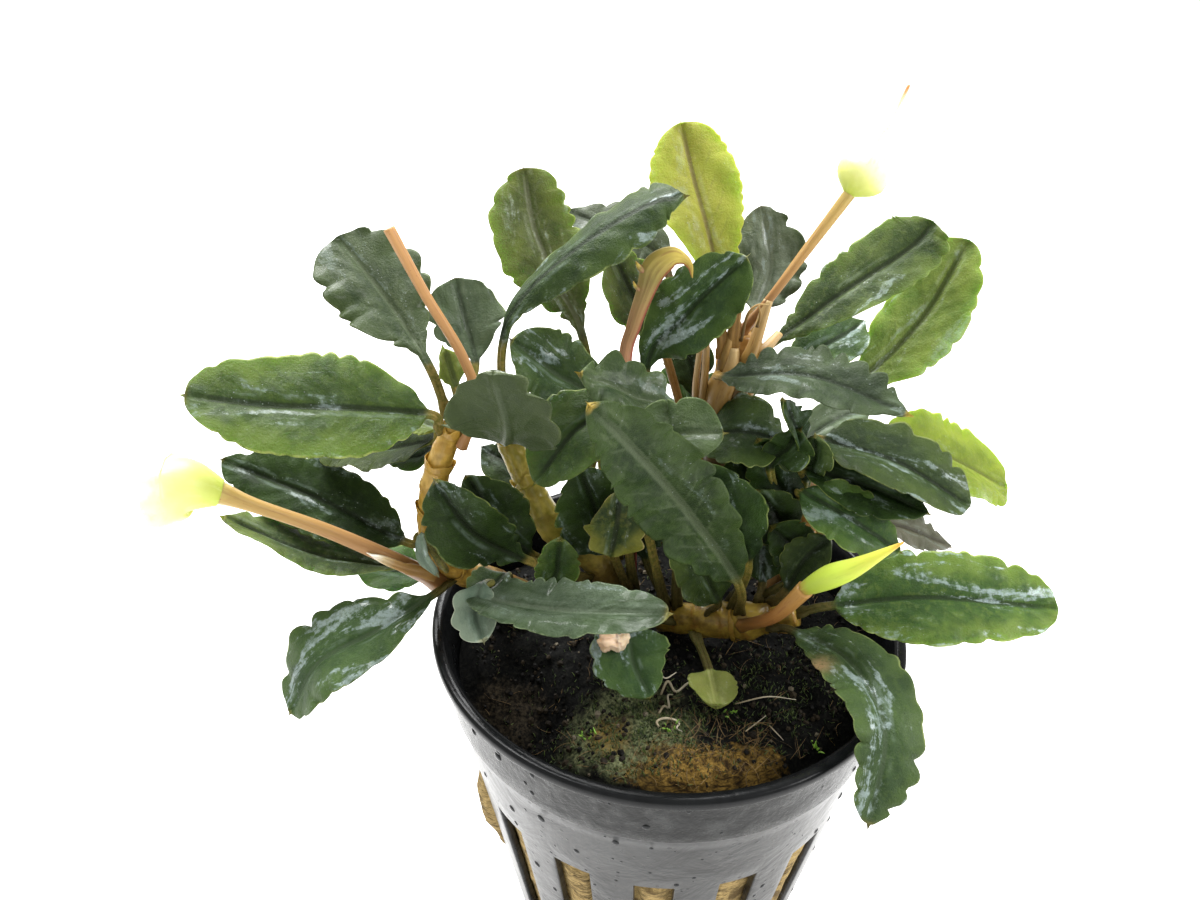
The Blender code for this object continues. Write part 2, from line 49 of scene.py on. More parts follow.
class Signal:
    # a socket that can stand in a sum, each sign adds one Math node
    def __init__(self, paint, socket):
        self.paint = paint
        self.socket = socket

    def math(self, operation, *values):
        return self.paint.node("ShaderNodeMath", {"operation": operation}, dict(enumerate(values)))

    def __add__(self, other):
        return self.math("ADD", self, other)

    def __radd__(self, other):
        return self.math("ADD", other, self)

    def __sub__(self, other):
        return self.math("SUBTRACT", self, other)

    def __rsub__(self, other):
        return self.math("SUBTRACT", other, self)

    def __mul__(self, other):
        return self.math("MULTIPLY", self, other)

    def __abs__(self):
        return self.math("ABSOLUTE", self)


class Paint:
    # one material while its nodes are being laid
    def __init__(self, name):
        self.material = bpy.data.materials.new(name)
        self.material.use_nodes = True
        self.tree = self.material.node_tree
        self.shader = self.tree.nodes["Principled BSDF"]
        self.known = {}

    def node(self, kind, settings=None, sockets=None, out=0):
        made = self.tree.nodes.new(kind)
        for key, value in (settings or {}).items():
            if key == "stops":
                for place, _ in value[2:]:
                    made.color_ramp.elements.new(place)
                for element, (place, colour) in zip(made.color_ramp.elements, value):
                    element.position = place
                    element.color = (*colour, 1.0)
            else:
                setattr(made, key, value)
        for key, value in (sockets or {}).items():
            self.feed(made.inputs[key], value)
        return Signal(self, made.outputs[out])

    def feed(self, socket, value):
        if isinstance(value, Signal):
            self.tree.links.new(value.socket, socket)
        elif socket.type == "RGBA" and len(value) == 3:
            socket.default_value = (*value, 1.0)
        else:
            socket.default_value = value

    def mesh(self, name):  # a value stored on the mesh
        if name not in self.known:
            self.known[name] = self.node("ShaderNodeAttribute", {"attribute_name": name}, out="Fac")
        return self.known[name]

    def place(self):  # where the surface is, in millimetres
        if "place" not in self.known:
            where = self.node("ShaderNodeTexCoord", out="Object")
            self.known["place"] = self.node("ShaderNodeVectorMath", {"operation": "SCALE"}, {0: where, "Scale": 1000.0})
        return self.known["place"]

    def axes(self):
        split = self.node("ShaderNodeSeparateXYZ", {}, {0: self.place()})
        return [Signal(self, socket) for socket in split.socket.node.outputs]

    def noise(self, vector, scale, detail=3.0, roughness=0.5, warp=0.0):
        return self.node("ShaderNodeTexNoise", {}, {"Vector": vector, "Scale": scale, "Detail": detail,
                                                   "Roughness": roughness, "Distortion": warp})

    def cells(self, vector, scale):  # the distance to the middle of a cell
        return self.node("ShaderNodeTexVoronoi", {}, {"Vector": vector, "Scale": scale}, out="Distance")

    def ease(self, value, low, high):  # 0 under low, 1 over high
        return self.node("ShaderNodeMapRange", {"interpolation_type": "SMOOTHSTEP"},
                         {"Value": value, "From Min": low, "From Max": high})

    def mix(self, amount, first, second):
        return self.node("ShaderNodeMix", {"data_type": "RGBA"}, {0: amount, 6: first, 7: second}, out=2)

    def bump(self, height, distance, strength):  # distance in millimetres
        self.feed(self.shader.inputs["Normal"], self.node(
            "ShaderNodeBump", {}, {"Height": height, "Distance": distance * mm, "Strength": strength}))

    def finish(self, **sockets):
        for name, value in sockets.items():
            self.feed(self.shader.inputs[name.replace("_", " ")], value)
        return self.material


def makePiece(name, form, material, stands=(), smooth=True):
    # form is points in millimetres, faces, and values for the material
    points, faces, marks = form
    mesh = bpy.data.meshes.new(name)
    mesh.from_pydata((np.asarray(points) * mm).tolist(), [], faces)
    for key, values in marks.items():
        mesh.attributes.new(key, "FLOAT", "POINT").data.foreach_set("value", np.asarray(values, dtype=np.float32))
    mesh.materials.append(material)
    mesh.polygons.foreach_set("use_smooth", [smooth] * len(mesh.polygons))
    mesh.update()
    piece = bpy.data.objects.new(name, mesh)
    bpy.context.scene.collection.objects.link(piece)
    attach(piece, "root")
    if stands:
        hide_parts(*stands)
    return piece


def skin(rings, marks=None):
    # closed skin over rings of the same count, with a middle point at each end
    rings = np.asarray(rings, dtype=float)
    count, around, _ = rings.shape
    points = np.vstack([rings.reshape(-1, 3), rings[0].mean(0), rings[-1].mean(0)])
    foot, top = count * around, count * around + 1
    faces = []
    for i in range(count - 1):
        for k in range(around):
            j = (k + 1) % around
            faces.append((i * around + k, i * around + j, (i + 1) * around + j, (i + 1) * around + k))
    last = (count - 1) * around
    for k in range(around):
        j = (k + 1) % around
        faces.append((k, foot, j))
        faces.append((last + j, top, last + k))
    full = {}
    for key, grid in (marks or {}).items():
        grid = np.asarray(grid, dtype=float)
        full[key] = np.concatenate([grid.reshape(-1), [grid[0].mean(), grid[-1].mean()]])
    first, second, third = (points[[f[k] for f in faces]] for k in range(3))
    if (first * np.cross(second, third)).sum() < 0:  # turned inside out
        faces = [f[::-1] for f in faces]
    return points, faces, full


def gather(parts):
    # several skins as one mesh
    points, faces, marks = [], [], {}
    for partPoints, partFaces, partMarks in parts:
        start = sum(len(p) for p in points)
        points.append(np.asarray(partPoints))
        faces += [tuple(start + i for i in f) for f in partFaces]
        for key, values in partMarks.items():
            marks.setdefault(key, []).append(values)
    return np.vstack(points), faces, {key: np.concatenate(values) for key, values in marks.items()}


def curvePoint(points, t):
    # smooth curve through the points, t counts its spans
    span = max(0, min(int(t), len(points) - 2))
    local = t - span
    p1, p2 = points[span], points[span + 1]
    p0 = points[span - 1] if span > 0 else p1 * 2 - p2
    p3 = points[span + 2] if span + 2 < len(points) else p2 * 2 - p1
    return 0.5 * (2 * p1 + (p2 - p0) * local + (2 * p0 - 5 * p1 + 4 * p2 - p3) * local ** 2
                  + (3 * p1 - p0 - 3 * p2 + p3) * local ** 3)


def curveFrames(path, places, face, faceTip=None):
    points = [Vector(p) for p in path]
    face = Vector(face).normalized()
    faceTip = Vector(faceTip).normalized() if faceTip else face
    last = len(points) - 1
    frames = []
    for t in places:
        tangent = curvePoint(points, min(t + 0.05, last)) - curvePoint(points, max(t - 0.05, 0.0))
        tangent.normalize()
        wanted = face.lerp(faceTip, t / last)
        up = (wanted - tangent * wanted.dot(tangent)).normalized()
        frames.append((curvePoint(points, t), tangent, tangent.cross(up).normalized(), up))
    return frames


def wobble(dice, count):
    # a smooth random curve from -1 to 1 over 0 to 1
    knots = [dice.uniform(-1, 1) for _ in range(count + 3)]

    def at(s):
        place = min(max(s, 0.0), 1.0) * count
        low = min(int(place), count - 1)
        part = place - low
        part = part * part * (3 - 2 * part)
        return knots[low] * (1 - part) + knots[low + 1] * part
    return at


def crinkle(dice, lobes):
    # uneven rounded lobes along a margin with sharper notches between them
    shift, depth = wobble(dice, lobes), wobble(dice, lobes)

    def at(s):
        lobe = abs(math.sin(math.pi * (s * lobes + shift(s) * 0.5))) ** 0.75
        return (lobe - 0.62) * (0.8 + 0.7 * depth(s))
    return at


def hill(x):
    return math.exp(-x * x)


def circle(count):
    return [2 * math.pi * k / count for k in range(count)]


# Stems, with the same paths and radii as the solids
stemShape = {
    "face": (0.1, -1.0, 0.2), "sides": 28, "perSpan": 32, "sunk": 1.2,
    "scarEvery": 2.9, "scarHeight": 0.05, "swell": 0.09, "budHeight": 0.1,
    "gap": 0.35, "petioleHalf": 0.65,  # what the solids leave between a petiole and its stem
}
stems = {
    "left": dict(path=((-18, 6, 46.8), (-21, 3.5, 50.8), (-24, 0.5, 54.5), (-26, -1, 60), (-25.5, -1, 66.5),
        (-24, -1, 71.5), (-21.8, -1, 76)), radii=(1.6, 1.5, 1.4, 1.4, 1.5, 1.2, 0.8), finish="gold"),
    "centre": dict(path=((-5, 4, 46.1), (-8, 2, 54.5), (-13, 1, 60.5), (-15.5, 2, 65), (-17.5, 3, 70), (-18, 3, 73)),
        radii=(1.9, 1.7, 1.7, 1.5, 1.3, 0.9), finish="olive"),
    "front": dict(path=((0.5, 0.5, 47.4), (4.5, -1.5, 49.3), (9, -3, 50.5), (14, -4.5, 53)),
        radii=(1.5, 2.0, 2.1, 1.4), finish="ember"),
    "back": dict(path=((4, 9, 46), (6, 8, 55), (6, 7.5, 63), (6, 8, 71), (7.2, 9, 80.5)),
        radii=(1.8, 1.6, 1.6, 1.8, 1.5), finish="rust"),
    "right": dict(path=((13.5, 6, 46.2), (16, 5, 54), (15.5, 4, 63), (15, 3, 70)), radii=(1.6, 1.4, 1.3, 1.0),
        finish="rust"),
}


def radiusAt(radii, at):
    place = at * (len(radii) - 1)
    low = min(int(place), len(radii) - 2)
    return radii[low] + (radii[low + 1] - radii[low]) * (place - low)


def stemSurface(on, at, toward):
    # where a petiole or stalk meets a stem, at runs from 0 at its foot to 1 at its end
    path, radii = stems[on]["path"], stems[on]["radii"]
    [(axis, tangent, _, _)] = curveFrames(path, [at * (len(path) - 1)], stemShape["face"])
    away = (Vector(toward) - axis).normalized()
    along = away.dot(tangent)
    gap, half = stemShape["gap"], stemShape["petioleHalf"]
    if at == 1.0 and along > 0.5:
        return axis + away * (gap + math.sqrt(1.0 - along ** 2) * half) / along
    outward = (away - tangent * along).normalized()
    return axis + outward * (radiusAt(radii, at) + gap + abs(along) * half)


def smoothRadius(radii, at):
    values = [Vector((r, 0, 0)) for r in radii]
    return max(0.04, curvePoint(values, at * (len(radii) - 1)).x)


def rod(path, radii, sides, perSpan, form=None, hollow=0.0, face=stemShape["face"],
        radiusOf=smoothRadius, sunk=0.0):
    # a skin along a path, form(place, turn, length so far) changes its radius, hollow is an open cup's wall
    spans = len(path) - 1
    steps = spans * perSpan
    outer, inner, marks = [], [], {"along": [], "alongMm": [], "turn": []}
    travelled, before = 0.0, None
    frames = curveFrames(path, [spans * k / steps for k in range(steps + 1)], face)
    for i, (here, tangent, side, up) in enumerate(frames):
        travelled += (here - before).length if before else 0.0
        before = here.copy()
        if i == 0:
            here = here - tangent * sunk
        ring, hole = [], []
        for a in circle(sides):
            radius = radiusOf(radii, i / steps) * (form(i / steps, a, travelled) if form else 1.0)
            outward = side * math.cos(a) + up * math.sin(a)
            ring.append(here + outward * radius)
            hole.append(here + outward * max(0.05, radius - hollow) + tangent * (0.15 if i == 0 else 0.0))
        outer.append(ring)
        inner.append(hole)
        marks["along"].append([i / steps] * sides)
        marks["alongMm"].append([travelled] * sides)
        marks["turn"].append([k / sides for k in range(sides)])
    if hollow:
        return skin(outer + inner[::-1], {key: values + values[::-1] for key, values in marks.items()})
    return skin(outer, marks)


# Leaf finishes: the linear colours of the hollows, the blade, the midrib, the outer part and the rim,
# then what differs from the shared values
sharedLook = {
    "film": 0.3, "filmColour": (0.22, 0.29, 0.25), "softFilm": False, "glow": 0.0, "veins": 0.25, "ribWide": 0.3,
    "edgeShare": 0.5, "shine": 0.4, "gleamAt": 0.565, "gloss": 0.17,
}
leafTones = {
    "gleam": (0.27, 0.345, 0.345), "dewGlint": (0.42, 0.48, 0.46), "point": (0.42, 0.3, 0.05), "scar": (0.36, 0.25, 0.12),
    "stalk": ((0.12, 0.13, 0.02), (0.24, 0.2, 0.045)), "warmStalk": (0.3, 0.165, 0.045),
    "lowStalk": (0.03, 0.022, 0.008), "lowFrom": 61.0, "lowTo": 52.0,
}
leafLooks = {
    "dark": ((0.007, 0.018, 0.003), (0.015, 0.034, 0.006), (0.006, 0.012, 0.003), (0.028, 0.06, 0.008),
        (0.18, 0.23, 0.06), dict(film=0.1, shine=0.35, gloss=0.1)),
    "wet": ((0.013, 0.031, 0.007), (0.029, 0.06, 0.012), (0.007, 0.016, 0.004), (0.055, 0.094, 0.014),
        (0.24, 0.3, 0.09), dict(shine=0.7, gleamAt=0.54)),
    "grey": ((0.026, 0.043, 0.017), (0.045, 0.068, 0.028), (0.013, 0.022, 0.008), (0.055, 0.08, 0.03),
        (0.15, 0.19, 0.08), dict(filmColour=(0.185, 0.23, 0.155), softFilm=True, shine=0.25)),
    # a darker copy of grey for a leaf that faces the top light: painted shade
    "slate": ((0.015, 0.026, 0.01), (0.032, 0.049, 0.019), (0.012, 0.02, 0.008), (0.04, 0.06, 0.022),
        (0.1, 0.13, 0.06), dict(film=0.15, filmColour=(0.12, 0.155, 0.11), shine=0.3)),
    "soft": ((0.013, 0.03, 0.008), (0.03, 0.055, 0.014), (0.06, 0.085, 0.04), (0.045, 0.078, 0.016),
        (0.12, 0.17, 0.06), dict(film=0.25, filmColour=(0.125, 0.16, 0.085), softFilm=True, shine=0.25)),
    "plain": ((0.013, 0.029, 0.005), (0.03, 0.056, 0.01), (0.009, 0.018, 0.004), (0.06, 0.098, 0.014),
        (0.32, 0.38, 0.13), dict(film=0.05, shine=0.1, gloss=0.12)),
    "haze": ((0.008, 0.021, 0.004), (0.02, 0.043, 0.008), (0.07, 0.095, 0.05), (0.034, 0.066, 0.01),
        (0.045, 0.075, 0.018), dict(film=0.14, filmColour=(0.1, 0.135, 0.065), softFilm=True, shine=0.15,
        ribWide=0.5, veins=0.4, gloss=0.12)),
    "mid": ((0.022, 0.052, 0.007), (0.047, 0.094, 0.011), (0.01, 0.02, 0.005), (0.088, 0.15, 0.017),
        (0.34, 0.4, 0.12), dict(film=0.25, edgeShare=0.85, glow=0.1, ribWide=0.4, shine=0.5)),
    "green": ((0.016, 0.042, 0.007), (0.035, 0.076, 0.013), (0.009, 0.02, 0.005), (0.07, 0.12, 0.018),
        (0.24, 0.31, 0.09), dict(glow=0.08, shine=0.45, film=0.15)),
    "olive": ((0.045, 0.06, 0.014), (0.08, 0.096, 0.025), (0.12, 0.13, 0.07), (0.115, 0.142, 0.026),
        (0.2, 0.25, 0.06), dict(film=0.6, filmColour=(0.3, 0.34, 0.24), edgeShare=0.8, glow=0.1, shine=0.5)),
    "moss": ((0.018, 0.033, 0.007), (0.038, 0.06, 0.012), (0.014, 0.022, 0.007), (0.09, 0.12, 0.022),
        (0.2, 0.25, 0.07), dict(filmColour=(0.22, 0.27, 0.19), edgeShare=0.8, glow=0.1, shine=0.5)),
    # a young leaf, its colours also lightened as if lit from behind: painted light
    "young": ((0.27, 0.285, 0.034), (0.35, 0.37, 0.055), (0.22, 0.19, 0.06), (0.4, 0.42, 0.055),
        (0.46, 0.5, 0.1), dict(filmColour=(0.52, 0.54, 0.26), glow=0.35, veins=0.2, ribWide=0.25, shine=0.2)),
    "lime": ((0.12, 0.175, 0.01), (0.18, 0.25, 0.018), (0.12, 0.15, 0.02), (0.25, 0.31, 0.026),
        (0.36, 0.42, 0.08), dict(film=0.12, filmColour=(0.34, 0.4, 0.14), glow=0.25, shine=0.15)),
    "bright": ((0.092, 0.145, 0.026), (0.16, 0.222, 0.044), (0.055, 0.08, 0.018), (0.215, 0.275, 0.05),
        (0.32, 0.38, 0.12), dict(filmColour=(0.35, 0.42, 0.27), edgeShare=0.7, glow=0.2, ribWide=0.4, shine=0.3)),
    "glare": ((0.014, 0.029, 0.009), (0.03, 0.05, 0.018), (0.07, 0.095, 0.055), (0.04, 0.066, 0.024),
        (0.16, 0.21, 0.1), dict(film=0.35, filmColour=(0.17, 0.22, 0.16), softFilm=True, shine=0.3)),
    "fresh": ((0.022, 0.052, 0.009), (0.052, 0.1, 0.016), (0.014, 0.028, 0.007), (0.12, 0.17, 0.026),
        (0.32, 0.38, 0.11), dict(edgeShare=0.8, glow=0.1, shine=0.9, gleamAt=0.55)),
    "veil": ((0.024, 0.042, 0.015), (0.048, 0.074, 0.025), (0.11, 0.14, 0.09), (0.055, 0.084, 0.026),
        (0.14, 0.18, 0.07), dict(film=0.55, filmColour=(0.25, 0.29, 0.22), softFilm=True, shine=0.6, ribWide=0.4)),
    "rain": ((0.02, 0.045, 0.013), (0.044, 0.084, 0.024), (0.05, 0.08, 0.038), (0.062, 0.108, 0.022),
        (0.24, 0.3, 0.1), dict(film=0.35, shine=0.9, gleamAt=0.53)),
    "frayed": ((0.012, 0.028, 0.004), (0.03, 0.06, 0.008), (0.01, 0.018, 0.004), (0.16, 0.17, 0.022),
        (0.46, 0.4, 0.16), dict(edgeShare=0.9, film=0.1, shine=0.5)),
    # pale wet lobes: a film on the leaf with painted sheen
    "film": ((0.085, 0.13, 0.09), (0.15, 0.205, 0.15), (0.1, 0.14, 0.1), (0.2, 0.25, 0.18), (0.42, 0.46, 0.34),
        dict(edgeShare=0.6, filmColour=(0.34, 0.42, 0.38), shine=0.7)),
    "seedling": ((0.13, 0.15, 0.035), (0.21, 0.225, 0.06), (0.26, 0.28, 0.09), (0.15, 0.17, 0.035),
        (0.16, 0.19, 0.04), dict(filmColour=(0.36, 0.38, 0.19), glow=0.2, shine=0.2)),
    "brown": ((0.06, 0.062, 0.038), (0.1, 0.096, 0.062), (0.04, 0.036, 0.022), (0.08, 0.075, 0.05),
        (0.18, 0.16, 0.1), dict(shine=0.15)),
}
leafPaints = {}


def leafPaint(kind):
    if kind in leafPaints:
        return leafPaints[kind]
    *colours, changes = leafLooks[kind]
    look = {**sharedLook, **dict(zip(("deep", "mid", "rib", "edge", "rim"), colours)), **changes}
    paint = Paint("leaf_" + kind)
    across, along = paint.mesh("across"), paint.mesh("along")
    acrossMm, alongMm = paint.mesh("acrossMm"), paint.mesh("alongMm")
    tint, under = paint.mesh("tint"), paint.mesh("under")
    place = paint.place()
    blade = paint.ease(along, -0.02, 0.06)
    cloud = paint.noise(place, 0.28, 3.0, 0.55, 0.4)
    fine = paint.noise(place, 2.2, 3.0, 0.6)
    flow = paint.node("ShaderNodeCombineXYZ", {}, {0: acrossMm * 0.9 + cloud * 1.2, 1: alongMm * 0.17, 2: tint * 40})
    streak = paint.noise(flow, 1.0, 4.0, 0.6, 0.5)
    speck = paint.ease(paint.cells(place, 3.6), 0.13, 0.05)
    body = paint.mix(paint.ease(cloud * 0.6 + streak * 0.4, 0.34, 0.64), look["deep"], look["mid"])
    grain = paint.ease(paint.noise(place, 4.5, 4.0, 0.7), 0.36, 0.64)
    body = paint.mix(grain * 0.42, body, look["deep"])
    crumb = paint.noise(place, 1.3, 4.0, 0.65)
    body = paint.mix(paint.ease(crumb, 0.48, 0.66) * 0.3, body, look["edge"])
    lit = paint.ease(abs(across) * 0.75 + along * 0.4 + (cloud - 0.5) * 1.2, 0.42, 1.05) * look["edgeShare"]
    body = paint.mix(lit, body, look["edge"])
    body = paint.mix(speck * 0.2, body, look["rim"])
    wave = paint.node("ShaderNodeMath", {"operation": "SINE"},
                      {0: (alongMm - abs(acrossMm) * 1.25 + cloud * 2.2) * (2 * math.pi / leafShape["veinEvery"])})
    vein = paint.ease(wave, 0.72, 1.0) * paint.ease(abs(across), 0.97, 0.35) * paint.ease(streak, 0.4, 0.58) * blade
    body = paint.mix(vein * look["veins"], body, look["rib"])
    rib = paint.ease(abs(acrossMm) - fine * 0.14, look["ribWide"] * 0.9 + 0.03, look["ribWide"] * 0.4) * blade
    rib = rib * paint.ease(along, 1.0, 0.86)
    body = paint.mix(rib * 0.8, body, look["rib"])
    # painted sheen: pale lines along both flanks of the midrib
    flank = paint.ease(abs(abs(acrossMm) - look["ribWide"] - 0.38), 0.34, 0.06) * paint.ease(streak, 0.44, 0.6) * blade
    body = paint.mix(flank * paint.ease(cloud, 0.42, 0.58) * 0.26, body, look["filmColour"])
    patch = paint.noise(flow, 0.5, 5.0, 0.6, 0.9)
    blot = patch * 0.75 + crumb * 0.25
    # pale patches that are partly a film on the wet leaf and partly painted sheen
    wide = (0.32, 0.66) if look["softFilm"] else (0.5, 0.68)
    film = paint.ease(blot, *wide) * look["film"] * (1 - under) * blade
    body = paint.mix(film, body, look["filmColour"])
    # painted highlights: hard-edged bluish-white patches, as many as shine asks for
    gleam = paint.ease(blot, look["gleamAt"], look["gleamAt"] + 0.06) * look["shine"]
    gleam = gleam * (1 - under) * blade * (paint.ease(fine, 0.38, 0.54) * 0.65 + 0.35)
    body = paint.mix(gleam * 0.8, body, leafTones["gleam"])
    # painted glints: small bright specks for the sparkle of water beads, which also raise small bumps
    dewGlint = paint.ease(paint.cells(place, 2.1), 0.15, 0.09) * paint.ease(patch, 0.5, 0.58) * (1 - under) * blade
    body = paint.mix(dewGlint * 0.45, body, leafTones["dewGlint"])
    rim = paint.ease(abs(across), 0.94, 0.985) * paint.ease(crumb, 0.3, 0.55) * blade
    rim = rim * (paint.ease(cloud, 0.44, 0.58) * 0.75 + 0.25)
    body = paint.mix(rim * 0.85, body, look["rim"])
    body = paint.mix(under * 0.5, body, look["mid"])
    body = paint.mix(paint.mesh("point"), body, leafTones["point"])
    body = paint.mix(paint.mesh("scar") * paint.ease(fine, 0.25, 0.5), body, leafTones["scar"])
    stalk = paint.mix(paint.ease(fine, 0.4, 0.6), *leafTones["stalk"])
    stalk = paint.mix(paint.mesh("warm"), stalk, leafTones["warmStalk"])
    low = paint.ease(paint.axes()[2], leafTones["lowFrom"], leafTones["lowTo"])
    stalk = paint.mix(low * 0.85, stalk, leafTones["lowStalk"])
    body = paint.mix((1 - blade) * 0.9, body, stalk)
    body = paint.node("ShaderNodeHueSaturation", {}, {"Color": body, "Value": tint * 0.4 + 0.8,
                                                      "Hue": tint * 0.02 + 0.486})
    quilt = wave * paint.ease(abs(across), 1.0, 0.3) * paint.ease(abs(across), 0.02, 0.2)
    paint.bump(fine * 0.6 + grain * 0.3 + crumb * 0.9 + quilt * 0.4 + dewGlint * 0.3, 0.135, 0.85)
    leafPaints[kind] = paint.finish(
        Base_Color=body, Roughness=0.4 - film * 0.2 - gleam * 0.3 + crumb * 0.1, Specular_IOR_Level=look["gloss"],
        Coat_Weight=0.03 + film * 0.6 + gleam * 0.5, Coat_Roughness=0.1, Subsurface_Weight=look["glow"],
        Subsurface_Radius=(0.5, 1.0, 0.2), Subsurface_Scale=0.0009)
    return leafPaints[kind]


# What all leaves share
leafShape = {
    "across": (0.0, 0.04, 0.09, 0.16, 0.27, 0.4, 0.53, 0.66, 0.78, 0.88, 0.95, 1.0),
    "perWave": 5, "halfWave": 1.5, "petioleRings": 10,
    "petioleHalf": 0.5, "pipe": 0.42, "sunk": 0.7, "middleThick": 0.42, "edgeThick": 0.16,
    "openFrom": 0.55, "openOver": 1.3,
    "ribDepth": 0.22, "groove": 0.2, "buckle": 0.32, "swell": 0.055, "veinEvery": 2.6,
    "tipRows": (0.6, 0.3, 0.12, 0.03, 0.0), "tipLength": 0.5, "tipEnds": ((0.35, 0.55), (0.75, 0.28), (1.0, 0.06)),
}


def bladeShape(s, widest, blunt):
    # the base tapers into the petiole and the tip is rounder
    skew = math.log(0.5) / math.log(widest)
    power = blunt + (0.95 - blunt) * max(0.0, 1 - s / widest)
    return max(math.sin(math.pi * min(max(s, 0.0), 1.0) ** skew), 0.0) ** power


def leafSkin(name, path, width, face, faceTip=None, fold=0.15, ruffle=0.35, widest=0.5, blunt=0.7,
             scar=None, point=0.1, sheath=0.0, thin=1.0, warm=0.0, lobe=2.2):
    # a petiole that opens into a blade: widest is its place along the blade, lobe the millimetres from
    # notch to notch, point above 0 a yellow point, below 0 a shorter tip, scar (place, across, size)
    dice = random.Random(name)
    points = [Vector(p) for p in path]
    spans = len(points) - 1
    length = sum((b - a).length for a, b in zip(points[1:], points[2:]))
    waves = max(7, round(length / leafShape["halfWave"]))
    steps = waves * leafShape["perWave"]
    stalkRings = leafShape["petioleRings"]
    parts = [k / steps for k in range(steps)] + [1 - near / steps for near in leafShape["tipRows"]]
    places = [k / stalkRings for k in range(stalkRings)] + [1.0 + (spans - 1) * part for part in parts]
    lobes = max(4, round(length / lobe))
    swing = {sign: wobble(dice, round(waves * 0.9)) for sign in (-1, 1)}
    notch = {sign: crinkle(dice, lobes + dice.choice((-1, 0, 1))) for sign in (-1, 1)}
    sway = wobble(dice, 4)
    turn = wobble(dice, 3)
    tint, seed = dice.random(), dice.uniform(0, 90)
    lift = leafShape["across"]
    half = [(side, a) for side, values in ((-1, lift[:0:-1]), (1, lift)) for a in values]
    marks = {key: [] for key in ("across", "along", "acrossMm", "alongMm", "tint", "under", "point", "scar", "warm")}
    rings = []
    travelled, before = 0.0, None
    frames = curveFrames(path, places, face, faceTip)
    tipFrame = frames[-1]
    for i, (here, tangent, side, up) in enumerate(frames):
        travelled += (here - before).length if before and i > stalkRings else 0.0
        before = here.copy()
        if i == 0:
            here = here - tangent * leafShape["sunk"]
        s = parts[i - stalkRings] if i > stalkRings else (i - stalkRings) / steps
        stalk = leafShape["petioleHalf"]
        if i < stalkRings:
            stalk *= 1.0 + sheath + 0.5 * max(0.0, 1 - i / 3)
        shape = width / 2 * bladeShape(s, widest, blunt) if s > 0 else 0.0
        reach = max(shape, stalk * (1 - max(0.0, s) ** 4 * 0.9))
        opened = min(1.0, max(0.0, (reach - leafShape["openFrom"]) / leafShape["openOver"]))
        strength = ruffle * min(1.0, reach * 2 / width + 0.2) * opened
        halfTurn = turn(s) * 0.12 * opened
        cos, sin = math.cos(halfTurn), math.sin(halfTurn)
        side, up = side * cos + up * sin, up * cos - side * sin
        upper, lower = [], []
        for sign, a in half:
            bay = notch[sign](s)
            ripple = strength * (1.2 * swing[sign](s) + 1.2 * bay)
            edge = reach + ripple * 0.2 + (bay * (0.2 + 0.8 * ruffle) + 0.3 * sway(s) * sign) * opened * thin
            x = sign * a * edge
            swell = math.sin(math.pi * a ** 0.8) * reach * leafShape["swell"]
            groove = leafShape["groove"] * hill(x / 0.36) * (1 - 0.5 * max(0.0, s))
            bulge = noise.noise(Vector((x * 0.42 + seed, travelled * 0.3, sign * 3.0))) * leafShape["buckle"]
            bulge *= min(1.0, a * 2.5)
            flat = fold * a * edge + ripple * a ** 3 * 0.7 + (swell - groove + bulge) * thin
            thick = (leafShape["edgeThick"] + (leafShape["middleThick"] - leafShape["edgeThick"]) * (1 - a)) * thin
            thick = thick * (1 - 0.7 * a ** 8)
            belly = leafShape["ribDepth"] * hill(x / 0.42) * (1 - 0.6 * max(0.0, s))
            arch = math.sqrt(max(0.0, 1 - a * a))
            pipe = leafShape["pipe"] * (1 + sheath) * arch
            top = flat * opened + (pipe - 0.16 * hill(a / 0.4)) * (1 - opened)
            bottom = (flat - thick - belly) * opened - pipe * (1 - opened)
            upper.append((x, top))
            lower.append((x * (1 - 0.012 * opened), bottom))
        ring = upper + lower[::-1]
        rings.append([here + side * x + up * z for x, z in ring])
        spread = [sign * a for sign, a in half]
        marks["across"].append(spread + spread[::-1])
        marks["acrossMm"].append([x for x, _ in ring])
        marks["along"].append([s if i >= stalkRings else (i / stalkRings - 1) * 0.5] * len(ring))
        marks["alongMm"].append([travelled] * len(ring))
        marks["tint"].append([tint] * len(ring))
        marks["warm"].append([warm] * len(ring))
        marks["under"].append([0.0] * len(upper) + [1.0] * len(lower))
        marks["point"].append([max(0.0, (s - 0.985) / 0.015) * max(0.0, point) * 2] * len(ring))
        spot = [0.0] * len(ring)
        if scar:
            spot = [hill(math.hypot((s - scar[0]) * length, x - scar[1]) / scar[2]) for x, _ in ring]
        marks["scar"].append(spot)
    here, tangent, side, up = tipFrame
    base = rings[-1]
    for far, small in leafShape["tipEnds"]:
        rings.append([here + tangent * far * leafShape["tipLength"] * (1 + point) + (p - here) * small for p in base])
        for key in marks:
            marks[key].append(marks[key][-1])
        marks["point"][-1] = [min(1.0, max(0.0, point) * 3)] * len(base)
    return skin(rings, marks)


def leaf(name, finish, on, at, width, face, path, more=None, slot="leaf_dark", stands=(), ending="", warm=0.0):
    form = leafSkin(name, [stemSurface(on, at, path[0]), *path], width, face, warm=warm, **(more or {}))
    makePiece(name + ending, form, leafPaint(finish), stands)


cadTones = {row["node"]: row["material_slot"] for row in frame["record"]["subparts"]}

